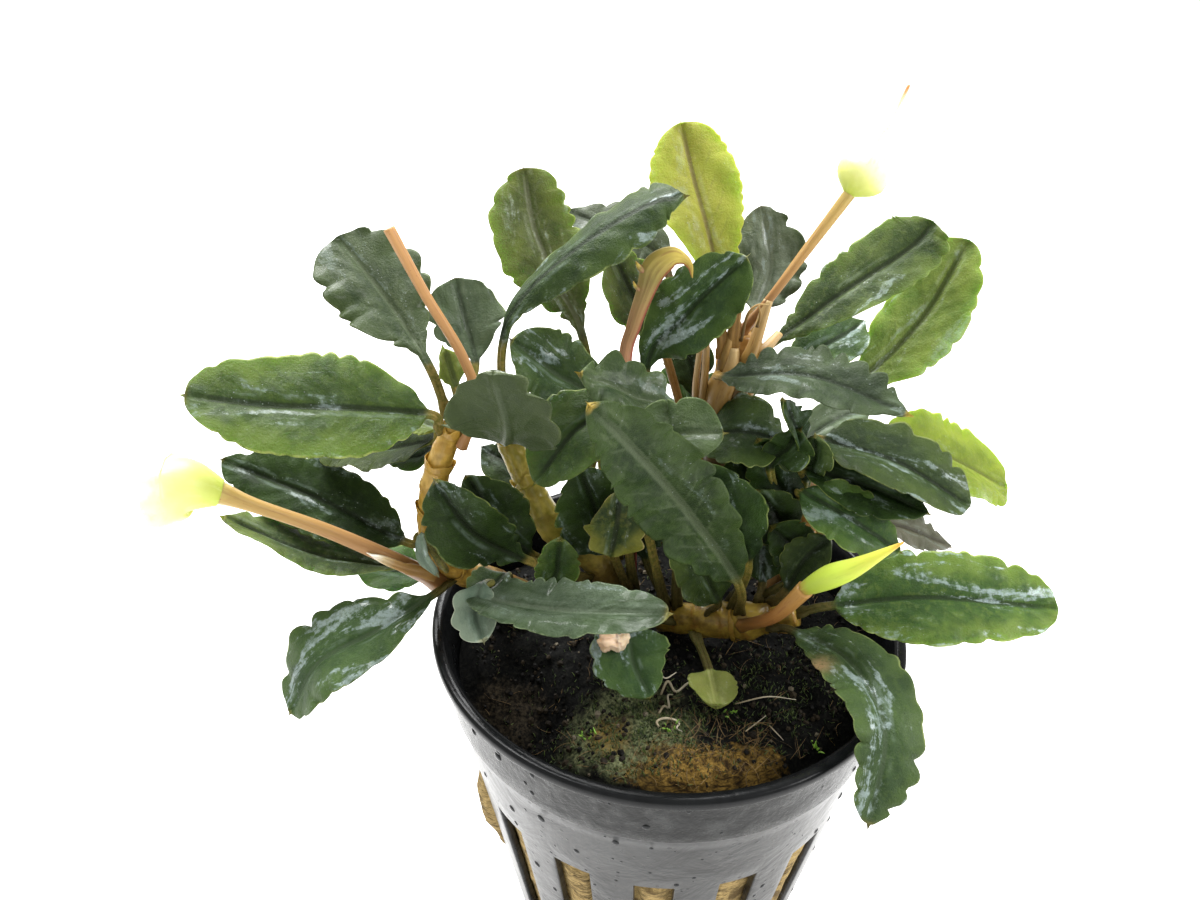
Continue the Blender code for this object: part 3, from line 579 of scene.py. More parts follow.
# finish, stem, place on it, width, the way it faces, path, and what differs
leaves = {
    "leaf_left_1": ("mid", "left", 0.93, 11.0, (0, -0.6, 0.8), ((-24.7, -2.5, 76.6), (-30.7, -5, 78.6),
        (-38, -7.5, 80.2), (-44.6, -10, 82.5)), dict(blunt=0.42, fold=0.1, ruffle=0.22)),
    "leaf_left_2": ("soft", "left", 0.97, 10.2, (0.35, -0.8, 0.5), ((-25, 1, 80), (-29, 5.5, 84.3), (-35.2, 11, 90)),
        dict(widest=0.7, blunt=0.42, ruffle=0.8, lobe=2.4, point=-0.6)),
    "leaf_left_3": ("grey", "left", 0.95, 7.5, (0.2, -0.85, 0.45), ((-21, 4.5, 78.5), (-22, 7.3, 82),
        (-23.2, 9.5, 86.2)), dict(widest=0.6, blunt=0.5, ruffle=0.6)),
    "leaf_left_4": ("bright", "left", 1.0, 2.8, (0.6, -0.7, 0.2), ((-22.4, 0, 78.4), (-23.3, 0.2, 82.5)),
        dict(fold=0.5, ruffle=0.1)),
    "leaf_left_5": ("dark", "left", 0.5, 8.8, (0.1, -0.5, 0.85), ((-29.5, 0.5, 58.5), (-39.1, 3.5, 62),
        (-50.6, 6, 65.7)), dict(blunt=0.55)),
    "leaf_left_6": ("moss", "left", 0.42, 7.5, (0, 0.1, 1), ((-30, -1.2, 56.4), (-39.5, -1.2, 58.2), (-48, -2, 63.5)),
        dict(blunt=0.55)),
    "leaf_left_7": ("plain", "left", 0.8, 8.6, (0, -0.15, 1), ((-25.2, 1.6, 71.2), (-31.5, 4.4, 68.3),
        (-40.0, 7.6, 65.6)), dict(ruffle=0.7)),
    "leaf_left_8": ("rain", "left", 0.36, 9.8, (-0.35, -0.45, 0.8), ((-26, -4, 54.8), (-31.8, -8, 53),
        (-37.7, -10, 50.3), (-41, -12, 45)), dict(widest=0.55, blunt=0.45, ruffle=0.45, lobe=2.8)),
    "leaf_left_9": ("green", "left", 0.36, 6.4, (0, -0.3, 1), ((-27.8, 1.5, 53.2), (-31.7, 2, 53.2),
        (-36.5, 2.5, 53.6)), dict(ruffle=0.2)),
    "leaf_centre_1": ("veil", "centre", 1.0, 11.2, (0.1, 0.7, 0.7), ((-17.2, -3.5, 74.3), (-16.6, -6.8, 78.6),
        (-17.4, -8.5, 84.3)), dict(fold=-0.15, ruffle=1.1, blunt=0.45, point=-0.6)),
    "leaf_centre_2": ("dark", "centre", 0.22, 7.5, (0, -0.9, 0.4), ((-15.5, -5, 60.5), (-20.5, -7.5, 66),
        (-23.5, -9, 73)), dict(widest=0.55)),
    "leaf_centre_3": ("dark", "centre", 0.3, 7.5, (0.2, -0.85, 0.5), ((-15.2, -2.8, 59.5), (-19, -3.5, 65),
        (-21.5, -3.5, 70))),
    "leaf_centre_4": ("rain", "centre", 0.35, 8.5, (-0.1, -0.6, 0.8), ((-8, 5.5, 72.5), (-13, 5.5, 77.5),
        (-17, 4.5, 81.5)), dict(blunt=0.55)),
    "leaf_centre_5": ("olive", "centre", 0.15, 9.2, (0, -0.85, 0.5), ((-9.5, 11, 77), (-12.6, 13.5, 84),
        (-15.3, 16.5, 89.4), (-16.4, 19, 95.2)), dict(widest=0.6, blunt=0.42, ruffle=0.45)),
    "leaf_centre_6": ("wet", "centre", 1.0, 6.8, (-0.35, -0.5, 0.8), ((-17.8, 2.5, 81.5), (-15.5, 3, 87),
        (-9.7, 3, 92.3), (-3.5, 4, 95.8), (-0.2, 4, 96.5)), dict(fold=-0.4, blunt=0.8, widest=0.6)),
    "leaf_centre_7": ("dark", "centre", 0.12, 9.0, (0, -0.8, 0.6), ((-6.3, -0.8, 58), (-8, -1.5, 63.5),
        (-10, -2, 70)), dict(blunt=0.5)),
    "leaf_centre_8": ("green", "centre", 0.2, 8.4, (-0.2, -0.6, 0.8), ((-6.8, 0, 73.8), (-10.1, -2.3, 75),
        (-14.4, -4, 69.6)), dict(ruffle=0.3, blunt=0.5)),
    "leaf_front_1": ("haze", "front", 0.66, 8.4, (-0.2, -0.75, 0.6), ((6.5, -8, 60), (0.4, -12, 71.7),
        (-4.1, -15.5, 79.5), (-8.7, -19, 86.7)), dict(widest=0.45, ruffle=0.5, point=0.35, blunt=0.55, lobe=3.4)),
    "leaf_front_2": ("soft", "front", 0.14, 6.5, (0.1, -0.6, 0.8), ((-0.5, -1.5, 74.3), (-4.9, -3, 79.2),
        (-9.8, -4.5, 82.2)), dict(blunt=0.6, ruffle=0.9, point=0.3)),
    "leaf_front_3": ("soft", "front", 0.03, 7.0, (0, -0.6, 0.8), ((-4.4, -6, 74.0), (-1.0, -7.4, 77.2),
        (3.6, -7.8, 77.8)), dict(blunt=0.5)),
    "leaf_front_4": ("glare", "left", 0.14, 6.4, (0, -0.1, 1), ((-20.5, -9, 59.5), (-17, -13.5, 62),
        (-10.5, -17.5, 64.5), (-1.8, -20, 66.5)), dict(blunt=0.33, point=0.12)),
    "leaf_front_5": ("rain", "front", 0.1, 8.5, (0, -0.45, 0.9), ((-4, -5, 52), (-4.3, -9, 50.3), (-2.5, -13, 48.5)),
        dict(blunt=0.6, ruffle=0.5, widest=0.4)),
    "leaf_front_6": ("plain", "front", 0.42, 7.5, (0.5, -0.8, 0.3), ((5.2, -4.5, 54.5), (3, -5, 59.5), (0, -6, 64)),
        dict(blunt=0.55)),
    "leaf_front_7": ("dark", "front", 0.78, 4.2, (0, -0.8, 0.6), ((10.6, -1, 54.5), (10.3, 0, 59)),
        dict(ruffle=0.15, blunt=0.5)),
    "leaf_front_8": ("wet", "front", 0.9, 5.0, (-0.3, -0.8, 0.6), ((12.5, -4.5, 56.3), (14, -4.5, 60.5),
        (16.3, -4.5, 63.3))),
    "leaf_front_9": ("fresh", "front", 1.0, 10.5, (0.1, -0.55, 0.85), ((17.5, -5, 54.5), (27.5, -5.5, 56.2),
        (41.5, -6, 55.2)), dict(blunt=0.36, ruffle=0.25, lobe=2.6, point=-0.6)),
    "leaf_front_10": ("rain", "front", 0.88, 8.0, (0.3, -0.3, 0.9), ((13, -8, 53.5), (17, -14, 55.3), (19, -21.5, 54),
        (17, -27.5, 48)), dict(faceTip=(0.2, -0.9, 0.5), blunt=0.45, scar=(0.3, 3.2, 1.4), ruffle=0.5)),
    "leaf_front_11": ("seedling", "front", 0.3, 5.2, (0, -0.3, 1), ((4.2, -9.0, 48.6), (4.4, -14.6, 49.2)),
        dict(ruffle=0.03, blunt=0.35, widest=0.42, point=-0.6, lobe=5.0, fold=0.25)),
    "leaf_front_12": ("dark", "front", 0.6, 8.0, (0, -0.8, 0.6), ((8, -4.5, 60), (5.3, -4.8, 66), (2.5, -5, 72.5)),
        dict(blunt=0.6)),
    "leaf_back_1": ("young", "back", 1.0, 10.0, (0.2, -0.5, 0.9), ((6.2, 13.5, 80.6), (3.9, 17, 88.8),
        (2.4, 20.5, 93.4), (0.8, 24, 99)), dict(faceTip=(0, -0.9, 0.45), widest=0.6, blunt=0.42, ruffle=0.1,
        lobe=1.9)),
    "leaf_back_2": ("wet", "back", 0.36, 8.0, (0.3, -0.8, 0.6), ((-3, 6.2, 76.5), (1.2, 6, 84.3), (6.5, 6, 90)),
        dict(widest=0.55, blunt=0.55)),
    "leaf_back_3": ("grey", "back", 0.4, 8.0, (0.1, -0.5, 0.85), ((0.3, 21, 81.8), (-5.4, 23, 86.6),
        (-11.8, 25, 88.8))),
    "leaf_back_4": ("moss", "back", 0.48, 7.0, (0.3, -0.8, 0.5), ((-1, 10.5, 78), (-4.5, 10.5, 84),
        (-7, 10.5, 89.5))),
    "leaf_back_5": ("veil", "back", 0.95, 8.0, (-0.3, -0.85, 0.4), ((9.2, 13.5, 81), (11.1, 17, 85), (9.9, 20, 91)),
        dict(blunt=0.5, ruffle=0.75, lobe=2.0)),
    "leaf_back_6": ("moss", "back", 0.97, 7.6, (-0.35, -0.65, 0.65), ((10.5, 9, 79.2), (16.9, 10.5, 83.9),
        (24.9, 13, 88.7), (27.2, 14, 91.2)), dict(widest=0.58, blunt=0.4, ruffle=0.3, point=-0.6)),
    "leaf_back_7": ("bright", "back", 0.9, 9.4, (-0.4, -0.75, 0.5), ((20.8, 14.5, 71.7), (29, 17.5, 77.8),
        (34, 20, 87.3)), dict(widest=0.55, blunt=0.42, ruffle=0.25, point=-0.6)),
    "leaf_back_8": ("slate", "back", 0.9, 7.5, (0, -0.35, 0.95), ((4.6, 3.5, 78.0), (12.6, -0.6, 80.3), (21, -6, 79)),
        dict(ruffle=0.6, point=0.3, lobe=1.8)),
    "leaf_back_9": ("wet", "back", 0.95, 7.0, (-0.1, -0.5, 0.85), ((13.2, 12.7, 75.2), (18.6, 15, 76.8),
        (23, 18, 78))),
    "leaf_back_10": ("wet", "back", 0.7, 8.2, (-0.1, -0.5, 0.85), ((3.4, 3.8, 70.4), (6.8, 1.6, 72.6),
        (11.6, 1, 71.6)), dict(blunt=0.5)),
    "leaf_right_1": ("lime", "right", 0.8, 11.0, (0, -0.45, 0.9), ((24.4, 10, 67.2), (33.5, 12.2, 63.4),
        (43, 14, 57.6)), dict(blunt=0.36, widest=0.55, ruffle=0.2, point=-0.3)),
    "leaf_right_2": ("wet", "right", 1.0, 8.6, (0, -0.4, 0.9), ((15.4, 1.5, 71.7), (22.7, -1, 70.7),
        (30.1, -4, 67.2)), dict(fold=0.2, blunt=0.4, lobe=3.4, point=-0.6)),
    "leaf_right_3": ("dark", "right", 0.85, 7.0, (0, -0.5, 0.85), ((13.7, 0, 68.9), (19.8, -2, 68.2),
        (26, -4, 66.2))),
    "leaf_right_4": ("green", "right", 0.68, 7.0, (0, -0.5, 0.85), ((13.2, -2, 67.4), (17.6, -5, 66.3),
        (22.9, -6.5, 63.2)), dict(blunt=0.55)),
    "leaf_right_5": ("brown", "right", 0.45, 5.0, (0, -0.4, 0.9), ((22, 5, 58.8), (28.8, 7, 56.3), (35.5, 9, 52))),
    "leaf_right_6": ("dark", "right", 1.0, 3.6, (0.7, -0.6, 0.3), ((13.3, 0, 71.5), (11.7, -1.5, 75),
        (10, -2.5, 78.5)), dict(fold=0.5)),
}
for name, row in leaves.items():
    leaf(name, *row, slot=cadTones[name], stands=[name], ending="_blade", warm=0.85 if row[1] == "back" else 0.15)
print("leaves", len(leaves))


def stemPaint(name, low, high, dark, band, foot=0.85, below=62.0, footTone=(0.05, 0.026, 0.008)):
    paint = Paint(name)
    alongMm, turn = paint.mesh("alongMm"), paint.mesh("turn")
    place = paint.place()
    lengthwise = paint.noise(paint.node("ShaderNodeCombineXYZ", {}, {0: turn * 9, 1: alongMm * 0.35}), 1.4, 4.0, 0.6)
    cloud = paint.noise(place, 0.45, 3.0, 0.6)
    body = paint.mix(paint.ease(cloud * 0.6 + lengthwise * 0.4, 0.36, 0.62), low, high)
    wave = paint.node("ShaderNodeMath", {"operation": "SINE"},
                      {0: (alongMm + cloud * 5) * (2 * math.pi / stemShape["scarEvery"])})
    scar = paint.ease(wave, 0.3, 1.0) * paint.ease(lengthwise, 0.35, 0.6)
    body = paint.mix(scar * band, body, dark)
    freckle = paint.ease(paint.cells(place, 1.7), 0.13, 0.06)
    body = paint.mix(freckle * 0.5, body, dark)
    # darker towards the bottom, under the height below, by as much as foot
    body = paint.mix(paint.ease(paint.axes()[2] + cloud * 8, below, below - 8.0) * foot, body, footTone)
    paint.bump(lengthwise * 0.6 + paint.noise(place, 3.0) * 0.4 - scar * 0.5, 0.12, 0.7)
    return paint.finish(Base_Color=body, Roughness=0.34 + lengthwise * 0.2, Specular_IOR_Level=0.2, Coat_Weight=0.25,
                        Coat_Roughness=0.15, Subsurface_Weight=0.15, Subsurface_Radius=(1.0, 0.6, 0.2),
                        Subsurface_Scale=0.0012)


stemFinishes = {
    "gold": ("stem_golden", (0.28, 0.165, 0.02), (0.54, 0.34, 0.068), (0.22, 0.09, 0.014), 0.35),
    "olive": ("stem_olive", (0.2, 0.17, 0.02), (0.42, 0.33, 0.06), (0.12, 0.06, 0.012), 0.3, 0.85, 65.0),
    "rust": ("stem_rust", (0.24, 0.12, 0.026), (0.42, 0.24, 0.07), (0.12, 0.05, 0.02), 0.3),
    "ember": ("stem_red_gold", (0.13, 0.08, 0.01), (0.36, 0.25, 0.036), (0.17, 0.038, 0.01), 0.4, 0.25),
}
stemPaints = {key: stemPaint(*row) for key, row in stemFinishes.items()}


cuffShape = {"sides": 44, "rows": (0.0, 0.3, 0.6, 0.85, 1.0), "off": 0.06, "thick": 0.16}


def cuff(dice, on, at, tall):
    # the torn foot of an old sheath around a stem
    path, spans = stems[on]["path"], len(stems[on]["path"]) - 1
    low, tangent, side, up = curveFrames(path, [at * spans], stemShape["face"])[0]
    torn = [wobble(dice, 5), wobble(dice, 11)]
    outer, inner, turns = [], [], [k / cuffShape["sides"] for k in range(cuffShape["sides"])]
    for part in cuffShape["rows"]:
        out, back = [], []
        for turn in turns:
            fold = abs(2 * turn - 1)
            direction = side * math.cos(turn * 2 * math.pi) + up * math.sin(turn * 2 * math.pi)
            high = tall * (0.6 + 0.35 * torn[0](fold) + 0.15 * torn[1](fold)) * part
            r = radiusAt(stems[on]["radii"], at) * (1.07 + 0.1 * part) + cuffShape["off"]
            r += 0.12 * torn[1](fold) * part
            out.append(low + tangent * high + direction * r)
            back.append(low + tangent * (high - 0.02 * part) + direction * (r - cuffShape["thick"] + 0.08 * part))
        outer.append(out)
        inner.append(back)
    rings = outer + inner[::-1]
    return skin(rings, {"alongMm": [[1.0] * len(turns)] * len(rings), "turn": [turns] * len(rings)})


def stemForm(name):
    dice = random.Random(name)
    lumps = wobble(dice, 9)
    lean = dice.uniform(0, 6.3)

    def form(at, turn, travelled):
        travelled += 1.6 * lumps(1 - at)
        ringPlace = (travelled + 0.5 * math.cos(turn - lean)) / stemShape["scarEvery"] % 1.0
        scar = stemShape["scarHeight"] * hill((ringPlace - 0.5) / 0.09)
        towards = math.cos(turn - lean - math.floor(travelled / stemShape["scarEvery"]) * 2.4)
        bud = stemShape["budHeight"] * max(0.0, towards) ** 6
        grain = 0.015 * math.sin(turn * 7 + travelled * 0.8)
        return 1.0 + scar + bud * hill((ringPlace - 0.7) / 0.2) + stemShape["swell"] * lumps(at) + grain
    return form


for name, values in stems.items():
    name = "stem_" + name
    form = rod(values["path"], values["radii"], stemShape["sides"], stemShape["perSpan"], stemForm(name),
               radiusOf=radiusAt, sunk=stemShape["sunk"])
    makePiece(name + "_skin", form, stemPaints[values["finish"]], [name])
dice = random.Random("cuffs")
cuffs = {  # stem, place on it, height
    "gold": (("left", 0.9, 1.7), ("left", 0.76, 1.5), ("left", 0.6, 1.3), ("left", 0.34, 1.4)),
    "olive": (("centre", 0.82, 1.4), ("centre", 0.62, 1.6), ("centre", 0.3, 1.5)),
    "ember": (("front", 0.55, 1.3), ("front", 0.86, 1.5)),
    "rust": (("back", 0.86, 2.2), ("back", 0.6, 1.6), ("right", 0.78, 1.4), ("right", 0.5, 1.4)),
}
for finish, places in cuffs.items():
    feet = gather([cuff(dice, *place) for place in places])
    makePiece("sheath_feet_" + finish, feet, stemPaints[finish])
print("stems", len(stems))

# Net pot, the same sizes as the solid
pot = {
    "height": 50.0, "rim": 27.0, "lip": 1.3, "standOut": 0.8, "collarDepth": 8.2, "collar": 25.6, "step": 0.5,
    "base": 18.5, "wall": 1.0, "floor": 1.5, "slots": 16, "slotDegrees": 10.5, "firstDegrees": -94.5,
    "slotTop": 31.5, "slotBottom": 6.0, "slotRows": 10, "slotColumns": 5, "ribColumns": 6, "slotRadius": 22.0,
    "lipFrom": 48.55, "collarFrom": 42.3, "softEdge": 0.14,
    "drops": 420, "dropTop": 49.0, "dropBottom": 6.0, "dropSides": 12, "dropRows": 4,
    "dropGap": 0.5, "dropLimit": 48.2, "stepFrom": 40.9, "stepTo": 42.6,  # no drops at a slot, the step or the lip
}
pitch = 360.0 / pot["slots"]


def potWall(height):
    foot = pot["height"] - pot["collarDepth"]
    if height > foot:
        return pot["collar"] + (height - foot) / pot["collarDepth"] * (pot["rim"] - pot["standOut"] - pot["collar"])
    return pot["base"] + (pot["collar"] - pot["step"] - pot["base"]) * height / foot


def potSkin():
    foot, top = pot["height"] - pot["collarDepth"], pot["height"]
    low, high = pot["slotBottom"], pot["slotTop"]
    count = pot["slotRows"]
    slotRows = [low + (high - low) * k / count for k in range(count + 1)]
    above = [high + (foot - high) * k / 5 for k in range(1, 5)]
    collarRows = [foot + 0.55 + (top - pot["lip"] - foot - 0.75) * k / 5 for k in range(6)]
    outer = [(pot["base"] - 0.6, 0.0), (pot["base"] - 0.15, 0.12), (potWall(0.5), 0.5), (potWall(3.0), 3.0)]
    firstOuter = len(outer)
    outer += [(potWall(z), z) for z in slotRows + above]
    outer += [(potWall(foot), foot - 0.1), (potWall(foot) + 0.12, foot + 0.02), (pot["collar"] - 0.06, foot + 0.3)]
    outer += [(potWall(z), z) for z in collarRows]
    lip, rim = top - pot["lip"], pot["rim"]
    outer += [(rim - 0.45, lip - 0.05), (rim - 0.12, lip + 0.04), (rim, lip + 0.3), (rim, top - 0.4),
              (rim - 0.1, top - 0.12), (rim - 0.35, top), (rim - 0.95, top), (rim - 1.25, top - 0.12),
              (rim - 1.4, top - 0.5)]
    inner = [(potWall(z) - pot["wall"], z) for z in collarRows[::-1]]
    inner += [(potWall(foot) - pot["wall"] + 0.05, foot + 0.2), (potWall(foot) - pot["wall"], foot - 0.2)]
    inner += [(potWall(z) - pot["wall"], z) for z in above[::-1]]
    firstInner = len(outer) + len(inner)
    inner += [(potWall(z) - pot["wall"], z) for z in slotRows[::-1]]
    inner += [(potWall(pot["floor"]) - pot["wall"], pot["floor"])]
    profile = outer + inner
    columns = []
    for i in range(pot["slots"]):
        start = pot["firstDegrees"] - pot["slotDegrees"] / 2 + i * pitch
        for k in range(pot["slotColumns"]):
            columns.append((start + k * pot["slotDegrees"] / pot["slotColumns"], True))
        rib = (pitch - pot["slotDegrees"]) / pot["ribColumns"]
        for k in range(pot["ribColumns"]):
            columns.append((start + pot["slotDegrees"] + k * rib, False))
    tall = len(profile)
    points = []
    for degrees, _ in columns:
        a = math.radians(degrees)
        points += [(math.cos(a) * r, math.sin(a) * r, z) for r, z in profile]
    points += [(0, 0, 0), (0, 0, pot["floor"])]
    faces = []
    gaps = {*range(firstOuter, firstOuter + count), *range(firstInner, firstInner + count)}
    for i, (_, isSlot) in enumerate(columns):
        a, b = i * tall, (i + 1) % len(columns) * tall
        for k in range(tall - 1):
            if not (isSlot and k in gaps):
                faces.append((a + k, b + k, b + k + 1, a + k + 1))
        faces.append((len(points) - 2, b, a))
        faces.append((len(points) - 1, a + tall - 1, b + tall - 1))
        if isSlot:
            faces.append((a + firstOuter, b + firstOuter, b + firstInner + count, a + firstInner + count))
            faces.append((a + firstInner, b + firstInner, b + firstOuter + count, a + firstOuter + count))
            for k in range(count):
                outerLow, outerHigh = firstOuter + k, firstOuter + k + 1
                innerLow, innerHigh = firstInner + count - k, firstInner + count - 1 - k
                if not columns[i - 1][1]:
                    faces.append((a + outerLow, a + innerLow, a + innerHigh, a + outerHigh))
                if not columns[(i + 1) % len(columns)][1]:
                    faces.append((b + outerLow, b + outerHigh, b + innerHigh, b + innerLow))
    return points, faces, {}


potTones = {
    "wall": ((0.003, 0.0033, 0.0036), (0.014, 0.0155, 0.016)), "speck": (0.1, 0.09, 0.07),
    "dried": (0.004, 0.004, 0.005), "dot": (0.002, 0.002, 0.002),
    "collar": ((0.003, 0.0033, 0.0034), (0.014, 0.0155, 0.015)),
    "lip": ((0.002, 0.0022, 0.0025), (0.01, 0.011, 0.012)), "water": ((0.004, 0.005, 0.005), (0.02, 0.022, 0.024)),
}
potPaint = Paint("pot_black_plastic")
place = potPaint.place()
haze = potPaint.noise(place, 0.16, 4.0, 0.6, 0.6)
marks = potPaint.noise(place, 1.1, 4.0, 0.65)
dried = potPaint.ease(potPaint.cells(place, 0.62), 0.17, 0.1)
specks = potPaint.ease(potPaint.cells(place, 2.1), 0.1, 0.05)
plastic = potPaint.mix(potPaint.ease(haze, 0.35, 0.7), *potTones["wall"])
plastic = potPaint.mix(specks * 0.25, plastic, potTones["speck"])
plastic = potPaint.mix(dried * 0.3, plastic, potTones["dried"])
potPaint.bump(haze * 1.2 + marks * 0.1 + dried * 0.15, 0.5, 0.5)
potPaint.finish(Base_Color=plastic, Roughness=0.22 + marks * 0.16 + dried * 0.1, Specular_IOR_Level=0.36,
                Coat_Weight=haze * 0.25, Coat_Roughness=0.08)
potPiece = makePiece("net_pot_moulding", potSkin(), potPaint.material, ["net_pot"])
collarPaint = Paint("pot_black_collar")
place = collarPaint.place()
mottle = collarPaint.noise(place, 0.45, 5.0, 0.65, 0.2)
dots = collarPaint.ease(collarPaint.cells(place, 1.6), 0.16, 0.09)
collar = collarPaint.mix(collarPaint.ease(mottle, 0.35, 0.75), *potTones["collar"])
collarPaint.bump(mottle + dots * 0.2, 0.35, 0.5)
collarPaint.finish(Base_Color=collarPaint.mix(dots * 0.5, collar, potTones["dot"]), Roughness=0.16 + mottle * 0.2,
                   Specular_IOR_Level=0.2, Coat_Weight=collarPaint.ease(mottle, 0.4, 0.72) * 0.25, Coat_Roughness=0.12)
lipPaint = Paint("pot_black_lip")
lipHaze = lipPaint.noise(lipPaint.place(), 0.5, 4.0, 0.6)
lipPaint.bump(lipHaze, 0.12, 0.4)
lipPaint.finish(Base_Color=lipPaint.mix(lipHaze, *potTones["lip"]), Roughness=0.1 + lipHaze * 0.25,
                Specular_IOR_Level=0.14)
potPiece.data.materials.append(lipPaint.material)
potPiece.data.materials.append(collarPaint.material)
for polygon in potPiece.data.polygons:
    x, y, z = polygon.center / mm
    if z > pot["lipFrom"] or math.hypot(x, y) < potWall(z) - pot["wall"] * 0.6:  # the lip and the inside
        polygon.material_index = 1
    elif z > pot["collarFrom"]:
        polygon.material_index = 2
soft = potPiece.modifiers.new("edges", "BEVEL")
soft.width = pot["softEdge"] * mm
soft.segments = 2
soft.limit_method = "ANGLE"
soft.angle_limit = math.radians(50)


def slotOffset(degrees):  # from the middle of the nearest slot
    return (degrees - pot["firstDegrees"] + pitch / 2) % pitch - pitch / 2


def inSlot(degrees, z, margin):
    if not pot["slotBottom"] - margin < z < pot["slotTop"] + margin:
        return False
    return abs(slotOffset(degrees)) < pot["slotDegrees"] / 2 + math.degrees(margin / pot["slotRadius"])


def dome(centre, normal, radius, tall, stretch):
    # a closed bead of water on a surface, stretch draws it out downwards
    normal = Vector(normal).normalized()
    side = normal.cross(Vector((0, 0, 1))).normalized() if abs(normal.z) < 0.9 else Vector((1, 0, 0))
    down = normal.cross(side).normalized()
    rings = []
    for k in range(pot["dropRows"] + 1):
        a = math.pi / 2 * k / pot["dropRows"]
        r, h = radius * math.cos(a) + 0.004, tall * math.sin(a) - 0.04
        rings.append([Vector(centre) + side * math.cos(t) * r + down * math.sin(t) * r * stretch + normal * h
                      for t in circle(pot["dropSides"])])
    return skin(rings)


waterPaint = Paint("water_on_black")
waterTone = waterPaint.noise(waterPaint.place(), 1.5)
waterPaint.bump(waterTone, 0.02, 0.2)
waterPaint.finish(Base_Color=waterPaint.mix(waterTone, *potTones["water"]), Roughness=0.05 + waterTone * 0.05,
                  Specular_IOR_Level=0.16)
dice = random.Random("drops")
beads = []
while len(beads) < pot["drops"]:
    degrees, z = dice.uniform(-180, 180), pot["dropTop"] - (pot["dropTop"] - pot["dropBottom"]) * dice.random() ** 1.3
    if inSlot(degrees, z, pot["dropGap"]) or pot["stepFrom"] < z < pot["stepTo"] or z > pot["dropLimit"]:
        continue
    a = math.radians(degrees)
    radius = 0.11 + 0.42 * dice.random() ** 3
    r = potWall(z) - 0.01
    normal = (math.cos(a), math.sin(a), -0.15)
    beads.append(dome((math.cos(a) * r, math.sin(a) * r, z), normal, radius, radius * 0.42, dice.uniform(1.0, 1.35)))
makePiece("pot_beads", gather(beads), waterPaint.material)
print("pot")


# Rock wool, its top follows the same mound and hollow as the solid
wool = {
    "gap": 0.4, "top": 45.5, "edgeDrop": 1.6, "sectors": 320, "sideRows": 34, "topRings": 58,
    "bulgeDegrees": -162.0, "bulgeWide": 8.0, "bulgeFoot": 14.0, "bulge": 2.1, "slotEase": 1.5,
    "mound": (2.4, 3.0, -19.0, 9.0, 5.0), "hollow": (7.5, -18.0, -12.0, 7.0, 7.5),  # height, middle, widths
    "grains": 1500, "fibres": 360, "moss": 2800, "reach": 22.4, "scatter": 24.0, "scatterReach": 22.8,
    "bareAt": (4.5, -20.5, 9.5, 4.6),  # middle and half widths of the mound, nearly free of peat
    "fibresAt": ((4.0, 6.0), (-18.5, 2.6)),  # middle and spread of x, then of y
    "mossAt": ((-2.5, 5.0), (-14.5, 3.8)), "mossToo": ((13.0, 4.0), (-9.0, 4.0)),
    "sproutsAt": ((14.6, -17.2), (-0.3, -15.2), (6.5, -12.6), (-9.0, -14.5)), "sproutsEach": 6,
}


def woolHeight(x, y):
    def heap(tall, cx, cy, wide, deep):
        return tall * math.exp(-((x - cx) / wide) ** 2 - ((y - cy) / deep) ** 2)
    lumps = 0.45 * math.sin(x * 0.75 + 1.0) * math.cos(y * 0.66)
    back = 1.0 / (1.0 + math.exp(-(y - 12.0) / 2.0))
    return wool["top"] + heap(*wool["mound"]) - heap(*wool["hollow"]) + lumps - back


def rough(x, y, z=0.0):
    clump = noise.fractal(Vector((x * 0.32, y * 0.32, z * 0.32 + 7)), 1.0, 2.0, 4)
    fine = noise.noise(Vector((x * 1.5, y * 1.5, z * 1.5 + 3)))
    return 0.75 * clump + 0.28 * fine


def woolSurface(x, y):
    return woolHeight(x, y) + rough(x, y)


def woolSkin():
    turns = circle(wool["sectors"])
    foot = pot["floor"] + wool["gap"]
    head = pot["height"] - pot["collarDepth"]
    rings, edge = [], []
    for a in turns:
        x, y = math.cos(a) * 21.5, math.sin(a) * 21.5
        edge.append(min(woolHeight(x, y) - wool["edgeDrop"], head + 1.5))
    for k in range(wool["sideRows"] + 1):
        ring = []
        for a, high in zip(turns, edge):
            z = foot + (high - foot) * k / wool["sideRows"]
            r = potWall(z) - pot["wall"] - wool["gap"] * 0.6
            degrees = math.degrees(a)
            degrees = degrees - 360 if degrees > 180 else degrees
            if inSlot(degrees, z, -0.3):
                number = round((degrees - pot["firstDegrees"]) / pitch) % pot["slots"]
                window = math.cos(slotOffset(degrees) / pot["slotDegrees"] * math.pi) ** 0.6
                ends = min(1.0, (z - pot["slotBottom"]) / wool["slotEase"], (pot["slotTop"] - z) / wool["slotEase"])
                push = random.Random(number).uniform(0.15, 0.85)  # each slot bulges as far as it likes
                if abs(degrees - wool["bulgeDegrees"]) < wool["bulgeWide"] and z > wool["bulgeFoot"]:
                    part = (z - wool["bulgeFoot"]) / (pot["slotTop"] - wool["bulgeFoot"])
                    push = 0.5 + wool["bulge"] * math.sin(math.pi * part) ** 0.7
                r += window * max(0.0, ends) * (push + 0.45 * rough(a * pot["slotRadius"], 0, z))
            ring.append((math.cos(a) * r, math.sin(a) * r, z))
        rings.append(ring)
    for k in range(wool["topRings"]):
        part = 1 - k / wool["topRings"]
        ring = []
        for a, high in zip(turns, edge):
            r = (potWall(high) - pot["wall"] - wool["gap"] * 0.6) * part
            x, y = math.cos(a) * r, math.sin(a) * r
            near = min(1.0, (1 - part) / 0.1)
            z = woolSurface(x, y) * near + high * (1 - near)
            ring.append((x, y, z))
        rings.append(ring)
    return skin(rings)


